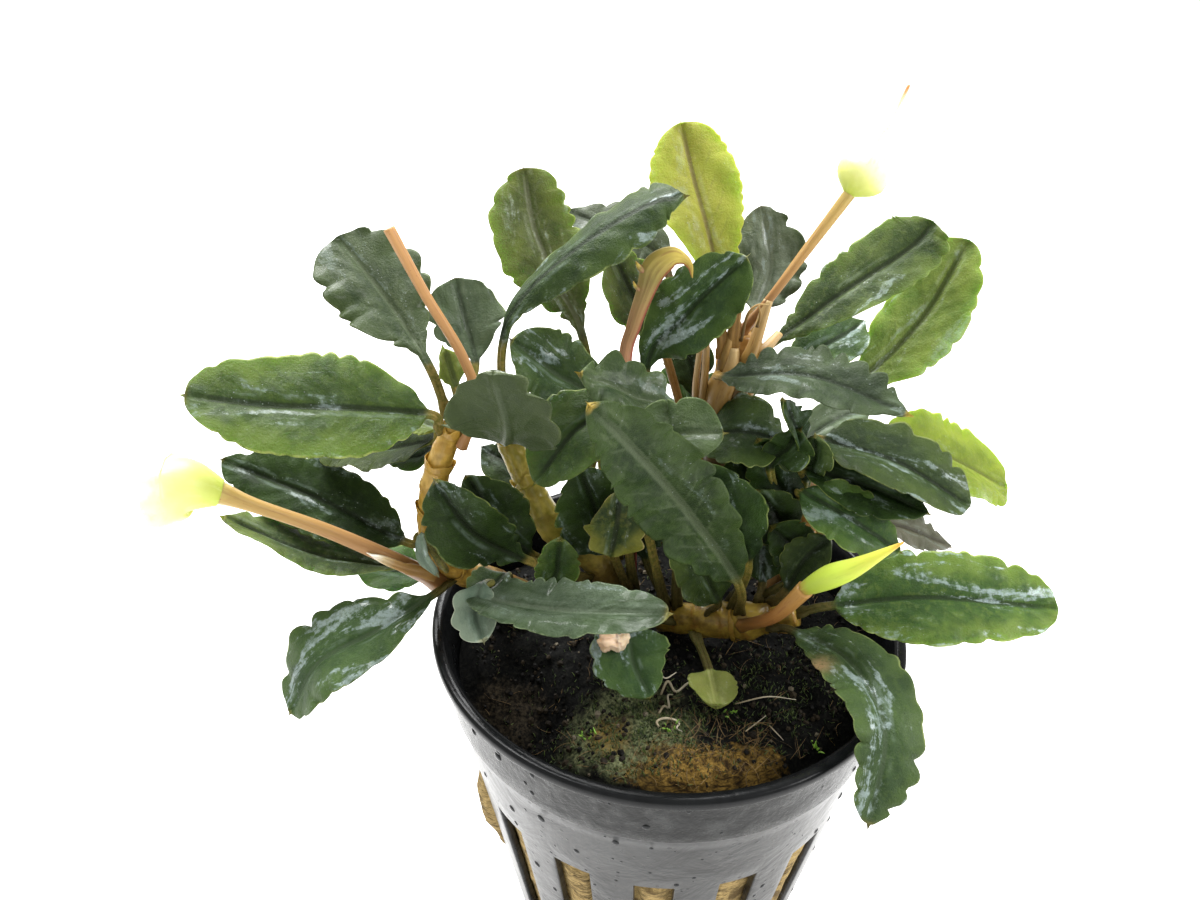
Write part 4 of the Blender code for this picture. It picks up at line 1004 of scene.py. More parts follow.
woolTones = {
    "gold": ((0.022, 0.012, 0.004), (0.42, 0.26, 0.06)), "goldSpot": (0.045, 0.02, 0.008),
    "side": ((0.05, 0.03, 0.01), (0.47, 0.34, 0.14)), "sideSpot": (0.06, 0.036, 0.014),
    "peat": ((0.0005, 0.0006, 0.0006), (0.01, 0.01, 0.008)), "green": ((0.03, 0.04, 0.018), (0.22, 0.24, 0.12)),
    "dust": ((0.005, 0.004, 0.003), (0.075, 0.058, 0.036)),
    "grain": ((0.003, 0.0025, 0.002), (0.03, 0.022, 0.013)), "paleGrain": (0.14, 0.12, 0.085),
    "mossyAt": (-4.5, -14.5, 7.5, 6.5), "goldenAt": (3.4, -20.8, 7.6, 3.4),  # middle and half widths
    "litAt": (-6.8, -15.5, 2.6, 3.6), "dustAt": (-18.5, -8.5, 4.6, 4.0), "topFrom": 33.0, "topTo": 35.0,
}


def woolPaint(name):
    paint = Paint(name)
    place = paint.place()
    x, y, z = paint.axes()
    cloud = paint.noise(place, 0.22, 4.0, 0.65, 0.5)
    grit = paint.noise(place, 2.4, 4.0, 0.7)
    flat = paint.node("ShaderNodeVectorMath", {"operation": "MULTIPLY"}, {0: place, 1: (0.9, 0.9, 3.2)})
    strand = paint.noise(flat, 0.8, 4.0, 0.7, 1.4)
    gold = paint.mix(paint.ease(strand * 0.4 + cloud * 0.6, 0.38, 0.62), *woolTones["gold"])
    gold = paint.mix(paint.ease(grit * 0.5 + cloud * 0.5, 0.5, 0.6) * 0.8, gold, woolTones["goldSpot"])
    side = paint.mix(paint.ease(strand * 0.6 + cloud * 0.4, 0.34, 0.6), *woolTones["side"])
    side = paint.mix(paint.ease(cloud, 0.5, 0.64) * 0.85, side, woolTones["sideSpot"])
    peat = paint.mix(paint.ease(grit, 0.42, 0.7), *woolTones["peat"])
    green = paint.mix(paint.ease(grit, 0.36, 0.64), *woolTones["green"])
    dust = paint.mix(paint.ease(grit, 0.36, 0.64), *woolTones["dust"])

    def spot(key):
        cx, cy, rx, ry = woolTones[key]
        dx, dy = (x - cx) * (1 / rx), (y - cy) * (1 / ry)
        return dx * dx + dy * dy + (cloud - 0.5) * 2.4
    golden = paint.ease(spot("goldenAt") + (cloud - 0.5) * 4.5 + (grit - 0.5) * 2.0, 1.1, 0.2) * 0.9
    surface = paint.mix(paint.ease(spot("mossyAt"), 1.3, 0.4) * 0.85, peat, green)
    surface = paint.mix(paint.ease(spot("dustAt"), 1.2, 0.2) * 0.6, surface, dust)
    surface = paint.mix(golden, surface, gold)
    surface = paint.mix(paint.ease(spot("litAt"), 1.1, 0.3) * 0.55, surface, gold)
    surface = paint.mix(paint.ease(z, woolTones["topFrom"], woolTones["topTo"]), side, surface)
    paint.bump(strand * 0.6 + grit * 0.6, 0.35, 0.9)
    return paint.finish(Base_Color=surface, Roughness=0.7 + grit * 0.25, Specular_IOR_Level=0.12,
                        Coat_Weight=paint.ease(grit, 0.62, 0.72) * 0.25, Coat_Roughness=0.2)


def spotAt(dice):  # a random place on the top of the wool
    while True:
        x, y = [dice.uniform(-wool["scatter"], wool["scatter"]) for _ in range(2)]
        if math.hypot(x, y) < wool["scatterReach"]:
            return x, y


makePiece("rock_wool_block", woolSkin(), woolPaint("rock_wool_fibre"), ["rock_wool"])

grainPaint = Paint("peat_grain")
grainTone = grainPaint.mesh("shade")
grainColour = grainPaint.mix(grainPaint.ease(grainTone, 0.3, 0.8), *woolTones["grain"])
grainColour = grainPaint.mix(grainPaint.ease(grainTone, 0.95, 0.97), grainColour, woolTones["paleGrain"])
grainPaint.bump(grainPaint.noise(grainPaint.place(), 4.0), 0.1, 0.6)
grainPaint.finish(Base_Color=grainColour, Roughness=0.6 + grainTone * 0.2, Specular_IOR_Level=0.2)
dice = random.Random("grains")
chips = []
for _ in range(wool["grains"]):
    x, y = spotAt(dice)
    cx, cy, halfX, halfY = wool["bareAt"]
    if math.hypot((x - cx) / halfX, (y - cy) / halfY) < 1 and dice.random() < 0.85:
        continue
    size = 0.14 + 0.3 * dice.random() ** 2.5
    centre = Vector((x, y, woolSurface(x, y) + size * 0.25))
    turnBy = Matrix.Rotation(dice.uniform(0, 6.3), 3, "Z") @ Matrix.Rotation(dice.uniform(0, 3), 3, "X")
    rings = []
    for h, r in ((-1.0, 0.5), (-0.2, 1.0), (0.9, 0.55)):
        rings.append([centre + turnBy @ Vector((math.cos(t) * r * dice.uniform(0.75, 1.2), math.sin(t) * r, h)) * size
                      for t in circle(5)])
    shade = dice.random()
    chips.append(skin(rings, {"shade": [[shade] * 5] * 3}))
makePiece("peat_grains", gather(chips), grainPaint.material, smooth=False)


def shadePaint(name, low, high, roughness, grain, swing=0.1):
    # for many small things that each have their own shade
    paint = Paint(name)
    shade = paint.mesh("shade")
    paint.bump(paint.noise(paint.place(), grain), 0.02, 0.3)
    return paint.finish(Base_Color=paint.mix(shade, low, high), Roughness=roughness + shade * swing)


def strand(dice, start, heading, length, thick, bend, shade, sides, steps, lift=None):
    rings, here, direction = [], Vector(start), Vector(heading).normalized()
    curl = Vector([dice.uniform(-1, 1) for _ in range(3)]) * bend
    for k in range(steps):
        part = k / (steps - 1)
        r = thick * (1 - 0.75 * part ** 2)
        across = direction.orthogonal().normalized()
        other = direction.cross(across)
        rings.append([here + (across * math.cos(t) + other * math.sin(t)) * r for t in circle(sides)])
        here = here + direction * length / (steps - 1)
        direction = (direction + curl / (steps - 1)).normalized()
        if lift:
            here.z = max(here.z, lift(here.x, here.y))
    return skin(rings, {"shade": [[shade] * sides] * steps})


dice = random.Random("fibres")
threads = []
for _ in range(wool["fibres"]):
    if dice.random() < 0.6:
        x, y = [dice.gauss(*spread) for spread in wool["fibresAt"]]
    else:
        x, y = spotAt(dice)
    if math.hypot(x, y) > wool["reach"]:
        continue
    heading = (dice.uniform(-1, 1), dice.uniform(-1, 1), dice.uniform(-0.1, 0.7))
    threads.append(strand(dice, (x, y, woolSurface(x, y) - 0.05), heading, dice.uniform(1.0, 3.4), 0.035, 1.4,
                          dice.random(), 3, 7, lambda u, v: woolSurface(u, v) - 0.02 if math.hypot(u, v) < 22 else 0))
fibrePaint = shadePaint("wool_fibre", (0.05, 0.028, 0.008), (0.28, 0.18, 0.07), 0.5, 3.0)
makePiece("wool_fibres", gather(threads), fibrePaint)

dice = random.Random("moss")
tufts = []
while len(tufts) < wool["moss"]:
    pick = dice.random()
    if pick < 0.55:
        x, y = [dice.gauss(*spread) for spread in wool["mossAt"]]
    elif pick < 0.75:
        x, y = [dice.gauss(*spread) for spread in wool["mossToo"]]
    else:
        x, y = spotAt(dice)
    if math.hypot(x, y) > wool["reach"] or noise.noise(Vector((x * 0.5, y * 0.5, 2))) < -0.12:
        continue
    heading = (dice.uniform(-0.8, 0.8), dice.uniform(-0.8, 0.8), 1.0)
    tufts.append(strand(dice, (x, y, woolSurface(x, y) - 0.05), heading, dice.uniform(0.25, 0.85), 0.06, 1.0,
                        dice.random() ** 1.6, 3, 4))
mossPaint = shadePaint("moss", (0.01, 0.026, 0.006), (0.12, 0.17, 0.04), 0.45, 5.0)
makePiece("moss_tufts", gather(tufts), mossPaint)
print("rock wool")


# Flower stalks and spathes, on or close to the paths of the solids
def flowerPaint(name, stops, streaks, glow, roughness=0.4, seam=None):
    # stops run from the foot to the end
    paint = Paint(name)
    along, turn = paint.mesh("along"), paint.mesh("turn")
    place = paint.place()
    lengthwise = paint.noise(paint.node("ShaderNodeCombineXYZ", {}, {0: turn * 14, 1: along * 3}), 1.6, 4.0, 0.6)
    cloud = paint.noise(place, 0.8, 3.0, 0.6)
    body = paint.node("ShaderNodeValToRGB", {"stops": stops}, {"Fac": along + (cloud - 0.5) * 0.12})
    body = paint.mix(paint.ease(lengthwise, 0.5, 0.72) * 0.5, body, streaks)
    fleck = paint.ease(paint.cells(place, 1.3), 0.09, 0.04)
    body = paint.mix(fleck * 0.6, body, streaks)
    if seam:
        body = paint.mix(paint.ease(abs(turn - 0.5) + (lengthwise - 0.5) * 0.1, 0.34, 0.46) * 0.8, body, seam)
    paint.bump(lengthwise * 0.8 + paint.noise(place, 4.0) * 0.2, 0.08, 0.6)
    return paint.finish(Base_Color=body, Roughness=roughness + lengthwise * 0.15, Specular_IOR_Level=0.25,
                        Coat_Weight=0.08, Coat_Roughness=0.15, Subsurface_Weight=glow,
                        Subsurface_Radius=(1.0, 0.8, 0.4), Subsurface_Scale=0.0015)


flowerFinishes = {
    "salmon": ("stalk_salmon", [(0.0, (0.28, 0.14, 0.05)), (1.0, (0.46, 0.25, 0.095))], (0.24, 0.1, 0.04), 0.12),
    "tan": ("stalk_tan", [(0.0, (0.2, 0.095, 0.03)), (0.4, (0.32, 0.17, 0.06)), (0.9, (0.42, 0.29, 0.085)),
        (1.0, (0.52, 0.4, 0.13))], (0.22, 0.09, 0.035), 0.12),
    "rust": ("stalk_rust", [(0.0, (0.16, 0.08, 0.018)), (0.5, (0.3, 0.13, 0.035)), (1.0, (0.4, 0.22, 0.06))],
        (0.2, 0.08, 0.03), 0.12),
    "bark": ("petiole_bark", [(0.0, (0.06, 0.036, 0.008)), (0.35, (0.17, 0.1, 0.022)), (0.7, (0.31, 0.185, 0.055)),
        (1.0, (0.44, 0.31, 0.14))], (0.12, 0.055, 0.012), 0.05),
    "cream": ("spathe_cream", [(0.0, (0.46, 0.56, 0.07)), (0.25, (0.68, 0.72, 0.22)), (0.5, (0.86, 0.85, 0.52)),
        (0.86, (0.92, 0.88, 0.72)), (1.0, (0.55, 0.17, 0.07))], (0.62, 0.68, 0.24), 0.3),
    "bud": ("spathe_green", [(0.0, (0.36, 0.22, 0.05)), (0.12, (0.34, 0.44, 0.05)), (0.5, (0.52, 0.66, 0.08)),
        (0.9, (0.62, 0.62, 0.09)), (1.0, (0.55, 0.2, 0.05))], (0.4, 0.52, 0.06), 0.3),
    "open": ("spathe_open", [(0.0, (0.48, 0.56, 0.08)), (0.4, (0.72, 0.75, 0.26)), (1.0, (0.9, 0.88, 0.55))],
        (0.64, 0.7, 0.26), 0.3),
    "withered": ("spathe_withered", [(0.0, (0.03, 0.016, 0.006)), (0.13, (0.14, 0.07, 0.03)),
        (0.2, (0.4, 0.2, 0.11)), (0.5, (0.24, 0.19, 0.055)), (0.74, (0.46, 0.36, 0.07)), (0.9, (0.34, 0.24, 0.04))],
        (0.16, 0.06, 0.03), 0.1, 0.45, (0.22, 0.035, 0.03)),
}
flowerPaints = {key: flowerPaint(*row) for key, row in flowerFinishes.items()}

stalkShape = {"sunk": 0.8, "sides": 20, "perSpan": 16}
stalks = {
    "flower_stalk_left": dict(foot=("left", 0.37, (-29.7, -3.5, 60)), path=((-29.7, -4.5, 60), (-36, -5.5, 64.5),
        (-42, -7.5, 69), (-44.8, -8.5, 71.3)), radii=(1.1, 0.85, 0.72, 0.74, 1.2), finish="tan"),
    "flower_stalk_cut": dict(foot=("left", 0.92, (-17.5, -4, 74.5)), path=((-20, -2.2, 77.5), (-21.2, -1.6, 82.5),
        (-24.3, -0.7, 88.3), (-27.2, 0, 94.5)), radii=(0.5, 0.5, 0.5, 0.5, 0.55), finish="salmon"),
    "flower_stalk_tall": dict(foot=("back", 1.0, (8.3, 7.6, 83.5)), path=((9.4, 7.2, 85), (13.6, 8.5, 91),
        (16.8, 9.5, 95.6)), radii=(0.6, 0.45, 0.55, 0.65), finish="tan"),
    "flower_stalk_low": dict(foot=("front", 0.7, (9.6, -8, 54)), path=((10.4, -9, 56.5), (12.7, -10.5, 61.4)),
        radii=(0.65, 0.7, 0.9), finish="rust"),
}
for name, values in stalks.items():
    foot = stemSurface(*values["foot"])
    foot -= (Vector(values["path"][0]) - foot).normalized() * stalkShape["sunk"]
    form = rod([foot, *values["path"]], values["radii"], stalkShape["sides"], stalkShape["perSpan"],
               lambda at, a, _: 1 + 0.04 * math.sin(a * 5 + at * 6) + 0.25 * hill(at / 0.05))
    makePiece(name + "_skin", form, flowerPaints[values["finish"]], [name])


def openLobes(at, a, _):
    # two lobes, up and down, that flare at the mouth
    mouth = max(0.0, (at - 0.35) / 0.65) ** 1.3
    return 1 + mouth * (0.55 * abs(math.cos(a)) ** 1.5 - 0.35) + 0.06 * mouth * math.sin(a * 9 + 1)


def wrapped(at, a, _):
    # one edge of the hood laps over the other
    lap = (a / (2 * math.pi) + at * 0.22) % 1.0
    return 1 + 0.07 * (lap - 0.5) * (1 - at)


def knobbly(at, a, _):
    return 1 + 0.1 * math.sin(a * 6 + at * 30) * math.sin(at * 40)


def shrunken(at, a, _):
    return 1 + 0.05 * math.sin(a * 3 + at * 9) + 0.03 * math.sin(a * 11) - 0.3 * abs(math.sin(a))


hoods = {
    "spathe_left_hood": dict(
        finish="open", stands=["spathe_left"], sides=48, perSpan=16, form=openLobes, hollow=0.35, face=(0.0, 0.0, 1.0),
        path=((-44.4, -8.4, 71.05), (-46.8, -9, 72.2), (-48.3, -9.2, 72.1), (-50, -9.5, 72)),
        radii=(1.3, 2.3, 3.0, 3.6, 3.7)),
    "spadix_left": dict(
        finish="cream", sides=24, perSpan=16, form=knobbly,
        path=((-45.8, -8.8, 71.8), (-47.6, -9.1, 72.1), (-49.4, -9.4, 72.2)), radii=(0.5, 1.0, 1.15, 0.9, 0.3)),
    "spathe_tall_hood": dict(
        finish="cream", stands=["spathe_tall"], sides=40, perSpan=16, form=wrapped,
        path=((16.6, 9.45, 95.3), (17.4, 9.7, 96.6), (18.5, 10, 98.3), (19.6, 10.5, 101.1), (21.2, 11, 105.3)),
        radii=(0.62, 2.05, 2.6, 2.15, 0.95, 0.3, 0.13)),
    "spathe_bud_hood": dict(
        finish="bud", stands=["spathe_bud"], sides=36, perSpan=16, form=wrapped,
        path=((12.6, -10.4, 61.3), (14.6, -11.4, 63.7), (16.8, -12.5, 66), (20, -14, 70)),
        radii=(0.7, 1.0, 1.18, 1.12, 0.88, 0.5, 0.1)),
    "spathe_withered_hood": dict(
        finish="withered", slot="spathe_withered", stands=["spathe_withered"], sides=40, perSpan=12, form=shrunken,
        path=(stemSurface("centre", 0.1, (-3, 2, 70)), (-4.5, 2, 70), (-5.4, 3, 79.7), (-4.6, 3, 83.9), (-3.5, 3, 87.5),
              (-2.7, 3, 89.8), (-1.3, 2.9, 91.0), (-0.1, 2.8, 90.9), (0.6, 2.8, 90.2), (0.9, 2.7, 89.0)),
        radii=(0.6, 0.5, 0.68, 0.75, 0.95, 1.3, 1.05, 0.55, 0.32, 0.05)),
}
for name, values in hoods.items():
    finish, slot = values.pop("finish"), values.pop("slot", "spathe_yellow")
    stands = values.pop("stands", ())
    makePiece(name, rod(**values), flowerPaints[finish], stands)
teeth = []
for base, tip, r in (((-3.5, 2.9, 89.5), (-4.6, 2.7, 90.6), 0.42), ((-3.9, 2.9, 87.6), (-4.8, 2.7, 88.6), 0.3)):
    middle = (Vector(base) + Vector(tip)) / 2 + Vector((-0.15, 0, -0.1))
    teeth.append(rod((base, middle, tip), (r, r * 0.7, 0.06), 12, 5))
makePiece("withered_teeth", gather(teeth), flowerPaints["withered"])
print("flowers")

# Small leaves that have no solid, laid out as the rows above
smallLeaves = {
    "shoot_left_1": ("bright", "left", 0.72, 3.6, (0, -0.4, 0.9), ((-24.9, 1.5, 72.2), (-26.2, 2.6, 72.6),
        (-28.2, 3.6, 72.8)), dict(ruffle=0.25)),
    "shoot_left_2": ("green", "left", 0.66, 3.8, (0, -0.5, 0.85), ((-25.6, 3, 69.2), (-28.3, 4.5, 67.4),
        (-32, 6, 66.0))),
    "shoot_left_3": ("wet", "left", 0.12, 4.4, (-0.1, -0.6, 0.8), ((-17.9, -4, 57.6), (-19.3, -7, 58.4),
        (-20.9, -9.3, 58.4)), dict(ruffle=0.1, blunt=0.5)),
    "shoot_centre_1": ("green", "centre", 0.12, 4.8, (0.1, -0.9, 0.3), ((-12.8, -3, 54.4), (-12.4, -4, 58.6),
        (-12, -4.4, 62.8)), dict(ruffle=0.15, blunt=0.5)),
    "shoot_centre_2": ("dark", "centre", 0.3, 6.0, (-0.2, -0.5, 0.9), ((-14.5, 6, 60), (-18, 9, 63), (-22, 12, 64))),
    "shoot_back_1": ("dark", "back", 0.5, 5.4, (0.2, -0.8, 0.5), ((3.4, 11, 71.0), (2.3, 13, 75.3),
        (-0.2, 15, 78.8))),
    "shoot_back_2": ("green", "back", 0.45, 5.0, (0.1, -0.8, 0.5), ((3.3, 14, 68.6), (2, 16, 72.3), (1.1, 18, 75))),
    "shoot_back_3": ("dark", "back", 0.35, 7.0, (0, 0.5, 0.9), ((6, 13, 64), (8, 18, 68), (9, 24, 70))),
    "shoot_back_4": ("green", "back", 0.25, 7.0, (-0.3, 0.5, 0.9), ((2, 14, 58), (-2, 19, 61), (-6, 24, 61))),
    "shoot_back_5": ("dark", "back", 0.2, 6.5, (0.3, 0.4, 0.9), ((11, 13, 57), (15, 18, 59), (19, 22, 58))),
    "shoot_right_1": ("grey", "right", 0.62, 5.2, (0, -0.5, 0.85), ((16.4, 12, 64.6), (20.6, 15, 66.5),
        (25.2, 17, 67))),
    "shoot_right_2": ("dark", "right", 0.9, 2.8, (0.3, -0.8, 0.4), ((13.6, 1.5, 68.2), (11.8, 0.8, 70.2),
        (10, 0, 72.6)), dict(fold=0.45)),
    "shoot_right_3": ("green", "right", 0.3, 6.0, (0, -0.3, 0.95), ((18, 9, 57), (23, 13, 59), (28, 16, 58))),
    "shoot_right_4": ("dark", "right", 0.42, 5.6, (-0.2, -0.8, 0.5), ((12.6, 1, 60), (11, -1, 64), (8.6, -2, 67.4))),
    "shoot_front_1": ("dark", "front", 0.1, 5.4, (0.1, -0.8, 0.5), ((2.4, 2.2, 54), (2.8, 2.4, 59), (4.4, 2, 64))),
    "shoot_front_2": ("dark", "front", 0.02, 5.4, (-0.2, -0.8, 0.5), ((-2.4, 3.4, 54), (-3.4, 3.4, 59.5),
        (-6.2, 3, 65))),
    "shoot_front_3": ("green", "front", 0.55, 4.2, (0.1, -0.9, 0.3), ((9.4, 1.2, 54), (10.6, 1.6, 58),
        (12.2, 1.8, 62))),
    "fill_1": ("dark", "right", 0.35, 6.4, (-0.1, -0.85, 0.5), ((13.9, 1.5, 61.0), (11.2, 0.5, 67.0), (8.5, 0, 72.5)),
        dict(blunt=0.55)),
    "fill_2": ("wet", "right", 0.72, 4.0, (-0.4, -0.8, 0.4), ((14.2, 1.0, 66.9), (14.4, -0.5, 70.6),
        (14.0, -1, 73.6)), dict(blunt=0.6)),
    "fill_3": ("dark", "front", 0.4, 6.6, (-0.1, -0.85, 0.4), ((8.7, 3, 59.4), (8.6, 2.5, 65.6), (7.7, 2, 71.0)),
        dict(blunt=0.55)),
    "fill_5": ("dark", "front", 0.85, 5.2, (-0.3, -0.75, 0.6), ((15.1, -1.5, 57.3), (12.9, -2.5, 60.8),
        (10.4, -3, 63.5)), dict(blunt=0.45)),
    "fill_6": ("dark", "right", 0.5, 4.6, (0.1, -0.8, 0.5), ((10.1, 0, 68.8), (11.4, -1, 72.2), (12.3, -1.5, 74.6))),
    "low_lobe": ("frayed", "centre", 0.1, 6.2, (0.05, -0.9, 0.4), ((-5.6, -3.0, 67.1), (-6.1, -4.2, 64.2),
        (-6.7, -5.2, 61.3)), dict(ruffle=0.7, lobe=1.7, widest=0.6, blunt=0.4, point=-0.6)),
    "wet_lobe": ("film", "left", 0.13, 5.0, (-0.2, -0.6, 0.75), ((-19.6, -9.6, 61.0), (-20.0, -12.6, 60.0),
        (-19.0, -15.6, 59.0)), dict(ruffle=0.25, blunt=0.45)),
    "curl_left": ("film", "left", 0.45, 2.0, (-0.6, -0.7, 0.4), ((-26.4, -4.5, 63.0), (-26.3, -5.2, 61.0),
        (-25.1, -5.6, 59.0)), dict(ruffle=0.1, fold=0.6)),
}
for name, row in smallLeaves.items():
    leaf(name, *row)

paperPaint = flowerPaint("sheath_paper", [
    (0.0, (0.2, 0.11, 0.025)), (0.45, (0.3, 0.18, 0.06)), (0.75, (0.5, 0.4, 0.24)), (1.0, (0.8, 0.74, 0.62))],
    (0.34, 0.16, 0.08), 0.25, 0.5)
sheaths = {  # path and width
    "sheath_1": (((5.0, 6.2, 79.6), (4.7, 6.2, 81.8), (4.4, 6.4, 84.4)), 0.5),
    "sheath_2": (((5.9, 6.0, 80.6), (6.0, 6.0, 83.2), (6.2, 6.3, 86.0)), 0.5),
    "sheath_4": (((14.8, 2.2, 66.0), (14.0, 1.4, 68.6), (13.2, 1.0, 71.6)), 0.9),
    "sheath_5": (((-26.0, -4.6, 58.2), (-28.4, -5.4, 59.6), (-31.6, -6.0, 61.8)), 1.0),
}
for name, (path, width) in sheaths.items():
    points, faces, marks = leafSkin(name, path, width, (0.1, -0.9, 0.35), fold=-0.5, ruffle=0.05, widest=0.36,
                                    blunt=1.25, sheath=0.3, thin=0.4)
    marks["turn"] = marks["across"] * 0.5
    marks["along"] = np.clip(marks["along"] + 0.1, 0, 1)
    makePiece(name, (points, faces, marks), paperPaint)

# petioles that rise along the back stem before they part, and the thin scraps at their ends
petioles = (
    (((5.6, 6.8, 66), (5.0, 6.5, 73.1), (5.6, 6.2, 76.6), (6.0, 6.2, 80.2)), (1.9, 1.75, 1.6, 1.25, 0.7)),
    (((5.0, 6.2, 74), (5.2, 6.1, 78.5), (5.5, 6.1, 80.8), (5.9, 6.3, 83.2)), (0.8, 0.75, 0.6, 0.45, 0.2)),
    (((6.6, 6.4, 73), (7.5, 6.2, 77.8), (8.3, 6.3, 80.6), (9.4, 7.2, 85)), (1.2, 0.95, 0.75, 0.62, 0.5)),
    (((6.6, 6.4, 73), (7.6, 6.2, 77.0), (9.0, 6.6, 79.0), (11.2, 8.6, 80.6)), (0.9, 0.8, 0.7, 0.6, 0.45)),
    (((3.9, 6.8, 68), (3.3, 6.6, 73), (3.3, 6.4, 77.9), (3.2, 6.6, 82.5)), (0.55, 0.5, 0.42, 0.36, 0.3)),
    (((3.4, 7.2, 68), (2.7, 7.2, 72.8), (2.5, 7.2, 75.2), (2.7, 7.4, 79.2)), (0.5, 0.45, 0.4, 0.35, 0.3)),
    (((7.4, 9.0, 69), (9.4, 10.8, 73.0), (13.2, 12.7, 75.2)), (0.6, 0.55, 0.5, 0.45)),
)
scraps = (
    ((6.7, 5.8, 81.0), (7.1, 5.8, 83.9), (8.0, 6.0, 84.9), (9.2, 6.2, 84.9)),
    ((8.2, 5.8, 82.6), (8.4, 5.8, 83.8), (8.2, 5.8, 85)),
    ((5.5, 6.1, 82.6), (6.0, 6.2, 84.6), (6.2, 6.4, 86.6)), ((4.6, 6.2, 80.6), (4.2, 6.2, 82.6), (4.2, 6.4, 84.4)),
)
bundle = [rod(path, radii, 20, 12, lambda at, a, _: 1 + 0.1 * math.cos(a * 3 + at * 2)) for path, radii in petioles]
bundle += [rod(path, (0.2, 0.16, 0.12, 0.05), 8, 8) for path in scraps]
makePiece("petiole_bundle", gather(bundle), flowerPaints["bark"])

witherPaint = flowerPaint("withered_blob", [
    (0.0, (0.72, 0.46, 0.28)), (0.6, (0.86, 0.66, 0.48)), (1.0, (0.8, 0.62, 0.42))], (0.46, 0.24, 0.14), 0.4)


def crumpled(at, a, _):
    return 1 + 0.5 * noise.fractal(Vector((math.cos(a) * 1.6, math.sin(a) * 1.6, at * 6)), 1.0, 2.0, 3)


scrap = rod(((-7.5, -8.3, 52.3), (-6.7, -8.9, 52.7), (-5.7, -8.6, 52.5), (-4.6, -8.7, 53.3)),
            (0.4, 1.05, 0.75, 1.0, 0.7, 0.25), 40, 14, crumpled)
makePiece("withered_scrap", scrap, witherPaint)

# pale roots that curl over the wool, (x, y, height above it), and their radius
rootPaint = flowerPaint("root_pale", [(0.0, (0.4, 0.33, 0.21)), (1.0, (0.62, 0.57, 0.44))], (0.26, 0.19, 0.1), 0.0)
roots = {
    "root_curl_1": (((-5.8, -9.6, 1.2), (-4.9, -8.6, 1.8), (-4.3, -9.3, 1.2), (-3.5, -8.6, 1.9), (-2.3, -9.2, 1.3),
        (-1.3, -8.5, 1.8), (-0.4, -8.8, 1.2), (0.8, -7.6, 1.0)), 0.13),
    "root_curl_2": (((-1.0, -9.9, 0.2), (-0.2, -8.8, 0.7), (0.7, -9.6, 0.3), (2.4, -8.9, 0.9), (4.0, -10.2, 0.3)),
        0.13),
    "root_curl_3": (((-1.4, -12.9, 0.2), (-0.8, -11.8, 0.6), (-0.2, -11.6, 0.3), (-0.3, -10.7, 0.8),
        (0.3, -10.2, 0.4)), 0.12),
    "root_curl_4": (((-1.3, -15.3, 0.1), (-1.7, -14.4, 0.4), (-0.7, -14.1, 0.5), (0.6, -14.6, 0.2), (0.3, -15.6, 0.4),
        (0.8, -16.2, 0.1)), 0.12),
    "root_straw_1": (((6.9, -11.6, 0.5), (10.4, -11.0, 0.9), (13.7, -10.4, 0.8)), 0.07),
    "root_straw_2": (((7.2, -16.7, 0.4), (9.9, -13.4, 0.8)), 0.06),
    "root_straw_3": (((10.1, -14.7, 0.7), (11.2, -16.6, 0.4)), 0.06),
}
strings = [rod([(x, y, woolSurface(x, y) + lift) for x, y, lift in path], (thick, thick * 1.1, thick * 0.4), 8, 7)
           for path, thick in roots.values()]
makePiece("pale_roots", gather(strings), rootPaint)

sprouts = []
dice = random.Random("sprouts")
for cx, cy in wool["sproutsAt"]:
    for _ in range(wool["sproutsEach"]):
        x, y = cx + dice.gauss(0, 0.35), cy + dice.gauss(0, 0.35)
        heading = (dice.uniform(-0.8, 0.8), dice.uniform(-0.8, 0.8), 0.9)
        sprouts.append(strand(dice, (x, y, woolSurface(x, y) - 0.05), heading, dice.uniform(0.4, 0.9), 0.12, 1.2,
                              dice.uniform(0.7, 1.0), 5, 6))
sproutPaint = shadePaint("sprout", (0.1, 0.25, 0.02), (0.28, 0.52, 0.07), 0.4, 4.0, 0.05)
makePiece("sprouts", gather(sprouts), sproutPaint)
print("small pieces")

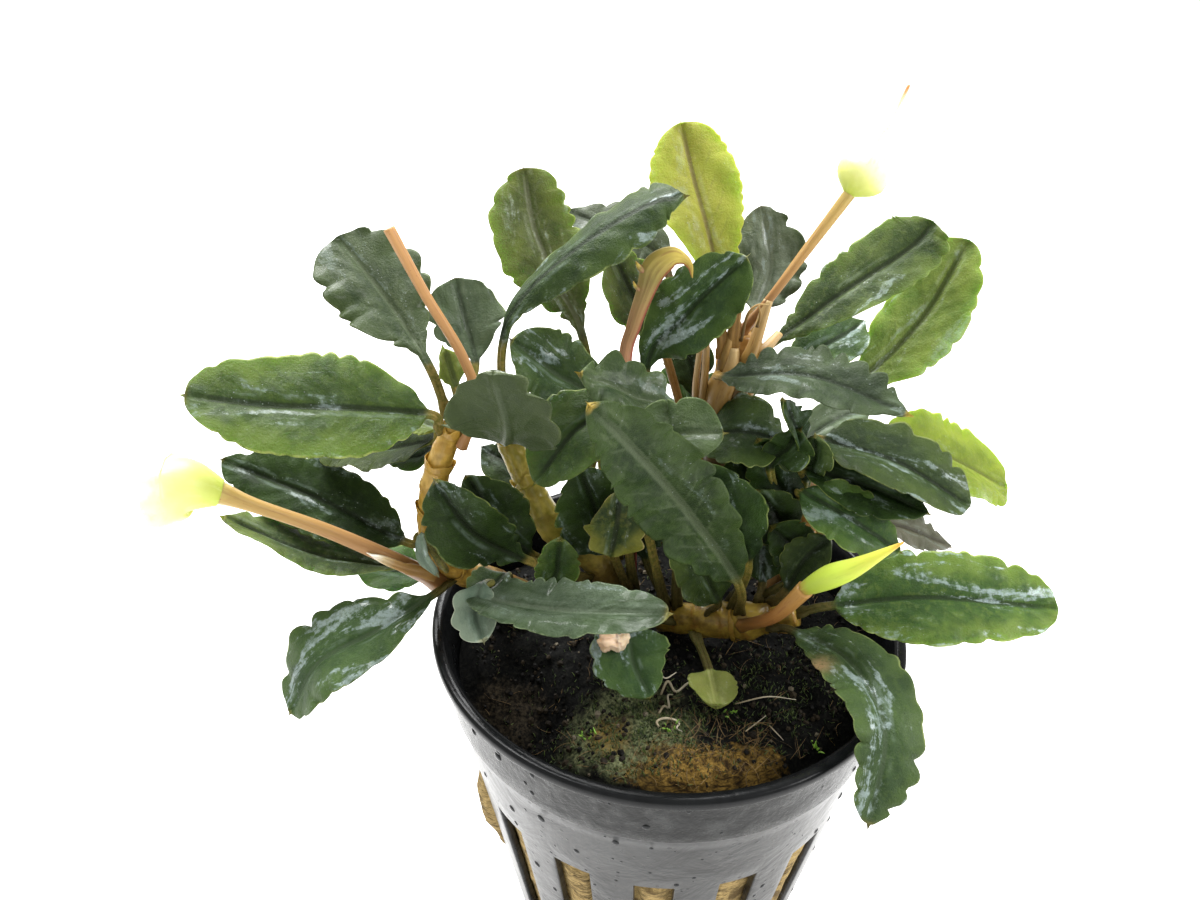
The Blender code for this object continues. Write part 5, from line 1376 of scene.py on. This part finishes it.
# Camera at the photograph's view
view = {
    "lens": 27.0, "sensor": 36.0, "nearest": 0.001,  # the stand's last column is its place in metres
    "stand": ((1.0, -0.0082, 0.0, -0.00788), (0.0043, 0.5204, -0.8539, -0.08016), (0.007, 0.8539, 0.5204, 0.11997),
              (0, 0, 0, 1)),
}
camera = bpy.data.objects.new("camera", bpy.data.cameras.new("camera"))
bpy.context.scene.collection.objects.link(camera)
camera.data.lens = view["lens"]
camera.data.sensor_width = view["sensor"]
camera.data.clip_start = view["nearest"]
camera.matrix_world = Matrix(view["stand"])
bpy.context.scene.camera = camera

studio = {
    "world": 0.85, "sky": (1.0, 0.985, 0.945), "floor": (0.92, 0.92, 0.92), "floorGlow": 0.37, "floorHalf": 3.0,
    "aim": (0, 0, 0.07),
    "top": dict(at=(-0.1, 0.22, 0.42), size=0.28, watts=5.0),
    "side": dict(at=(0.34, -0.1, 0.3), size=0.22, watts=1.6),
}
world = bpy.data.worlds.new("studio")
world.use_nodes = True
world.node_tree.nodes["Background"].inputs["Color"].default_value = (*studio["sky"], 1.0)
world.node_tree.nodes["Background"].inputs["Strength"].default_value = studio["world"]
bpy.context.scene.world = world
bpy.context.scene.view_settings.view_transform = "Standard"
for name in ("top", "side"):
    values = studio[name]
    lamp = bpy.data.objects.new(name + "_light", bpy.data.lights.new(name + "_light", "AREA"))
    bpy.context.scene.collection.objects.link(lamp)
    lamp.data.size = values["size"]
    lamp.data.energy = values["watts"]
    lamp.location = values["at"]
    lamp.rotation_mode = "QUATERNION"
    lamp.rotation_quaternion = (Vector(studio["aim"]) - Vector(values["at"])).to_track_quat("-Z", "Y")

floorPaint = Paint("floor_white")
floorMesh = bpy.data.meshes.new("floor")
half = studio["floorHalf"]
floorMesh.from_pydata([(-half, -half, 0), (half, -half, 0), (half, half, 0), (-half, half, 0)], [], [(0, 1, 2, 3)])
floorMesh.materials.append(floorPaint.finish(
    Base_Color=studio["floor"], Roughness=0.8, Emission_Color=(1.0, 1.0, 1.0), Emission_Strength=studio["floorGlow"]))
floor = bpy.data.objects.new("floor", floorMesh)
bpy.context.scene.collection.objects.link(floor)
print("studio")
